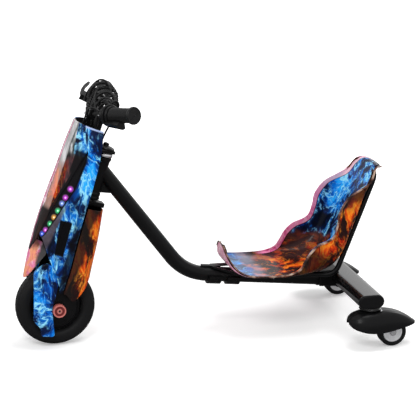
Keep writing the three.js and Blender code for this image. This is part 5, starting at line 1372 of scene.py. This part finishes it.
housing = sheet(*([housing_ring(row, inner) for row in range(HOUSING_ROWS + 1)] for inner in (False, True)))
boss = lathe([(9.5, DECK - 34), (17, DECK - 34), (17, DECK - 1.5), (9.5, DECK - 1.5)], 48, 0.8)
arm = plate(fillet([
    (across * CASTER_RADIUS - TRAIL, up * CASTER_RADIUS + rise * (DECK - CASTER_RADIUS))
    for across, up, rise in ((-0.35, 0.9, 0), (-0.22, 0.68, 0), (0.22, 0.68, 0), (0.38, 0.92, 0), (0.9, 1, 0.885),
                             (-0.32, 1, 0.823))
], 5, 5), -22.5, -16.5)
PIN_TOP = WHEEL + BEAM_Z - BEAM_HEIGHT / 2 - 0.3
PIN_HEAD = DECK - 34.5
pin = lathe([(0, PIN_HEAD - 8), (12, PIN_HEAD - 8), (14, PIN_HEAD - 6), (14, PIN_HEAD), (9, PIN_HEAD),
             (9, DECK + 0.5), (28, DECK + 0.5), (30, DECK + 2.3), (30, DECK + 3.6), (27.5, DECK + 4.8),
             (27.5, PIN_TOP - 0.6), (26.5, PIN_TOP), (0, PIN_TOP)], 64, 0.4)
# Twin-tread tyre, dished hub with ribs, and a hexagon-socket bolt with a washer
WHEEL_SPOT = at(-TRAIL, 0, CASTER_RADIUS, TO_Y)
tyre = moved(lathe(both_ways([
    (26.3, 14), (28, 15.6), (30, 16), (34, 15.6), (36.4, 14.4), (CASTER_RADIUS, 11.8), (CASTER_RADIUS, 2.6),
    (37, 1.4), (35.4, 1.0),
]), 72, 0.5), WHEEL_SPOT)
hub = lathe([(5.5, 15), (9.9, 15), (12, 11.8), (13, 11.5), (19.8, 12.8), (21.8, 15), (23, 15.2), (26, 13.4),
             (26, -14), (5.5, -14)], 72, 0.5)
rib = block((10.5, -0.55, 10), (21, 0.55, 13.4))
hub = moved(joined(hub, *(moved(rib, turned(angle, "Z")) for angle in circle(10))), WHEEL_SPOT)
bolt = moved(joined(
    disc(9.2, 15.2, 16.6, 40, 0.3),
    lathe([(0, 16.4), (7.4, 16.4), (7.4, 20.4), (6.8, 21), (3.8, 21), (3.5, 18.6), (0, 18.4)], 40),
), WHEEL_SPOT)
for word, side in SIDES:
    place = at(CASTER_X, side * CASTER_Y, 0, Matrix.Diagonal((MM, side * MM, MM, 1)))
    make(f"caster_housing_{word}_moulded", joined(housing, boss, arm), place, f"caster_housing_{word}", sharp=45)
    make(f"caster_pin_{word}_turned", pin, place, f"caster_pin_{word}")
    make(f"caster_tyre_{word}_turned", tyre, place, f"caster_tyre_{word}")
    make(f"caster_hub_{word}_turned", hub, place, f"caster_hub_{word}")
    make(f"caster_bolt_{word}", bolt, place, f"caster_axle_{word}", slot="steel", replaces=False)
    button(f"collar_screw_{word}", place, at(-24, 20, DECK - 1), f"caster_pin_{word}", 3.2, 3.6)

# Floor: it fades to the white behind it far away, and reflections see a darker one
mesh = bpy.data.meshes.new("floor")
work = bmesh.new()
bmesh.ops.create_grid(work, x_segments=8, y_segments=8, size=8)
work.to_mesh(mesh)
work.free()
floor = linked("floor", mesh)
floor.location = (0, 0, -0.0005)
tree = surface("floor_pale")
shown = tree.mix(tree.noise(3, 2.0), (0.9, 0.9, 0.9), (0.94, 0.94, 0.94))
tree.set(Base_Color=tree.mix(tree.ray("Glossy"), shown, (0.3, 0.3, 0.3)), Roughness=0.8, Specular_IOR_Level=0.05,
         Emission_Color=(1, 1, 1),
         Emission_Strength=tree.ray("Camera") * (tree.distance(tree.place()).span(0.9, 1.8) * 0.7 + 0.34))
mesh.materials.append(tree.owner)

# World and studio lights
scene.world = bpy.data.worlds.new("studio")
tree = Tree(scene.world, "Background")
tree.set(Color=(1, 1, 1), Strength=(tree.ray("Camera") | tree.ray("Glossy") | tree.ray("Transmission")) * 0.5 + 0.5)
for name, place, size, power in (
    ("key_light", (1.6, 2.6, 3.0), 1.4, 62),
    ("top_light", (-0.6, 0.2, 3.4), 1.6, 40),
    ("back_light", (-2.4, -2.2, 1.8), 1.2, 18),
):
    light = bpy.data.lights.new(name, "AREA")
    light.energy, light.size = power, size
    lamp = linked(name, light)
    lamp.location = place
    lamp.rotation_euler = (Vector((0, 0, 0.25)) - Vector(place)).to_track_quat("-Z", "Y").to_euler()
scene.view_settings.view_transform = "Standard"
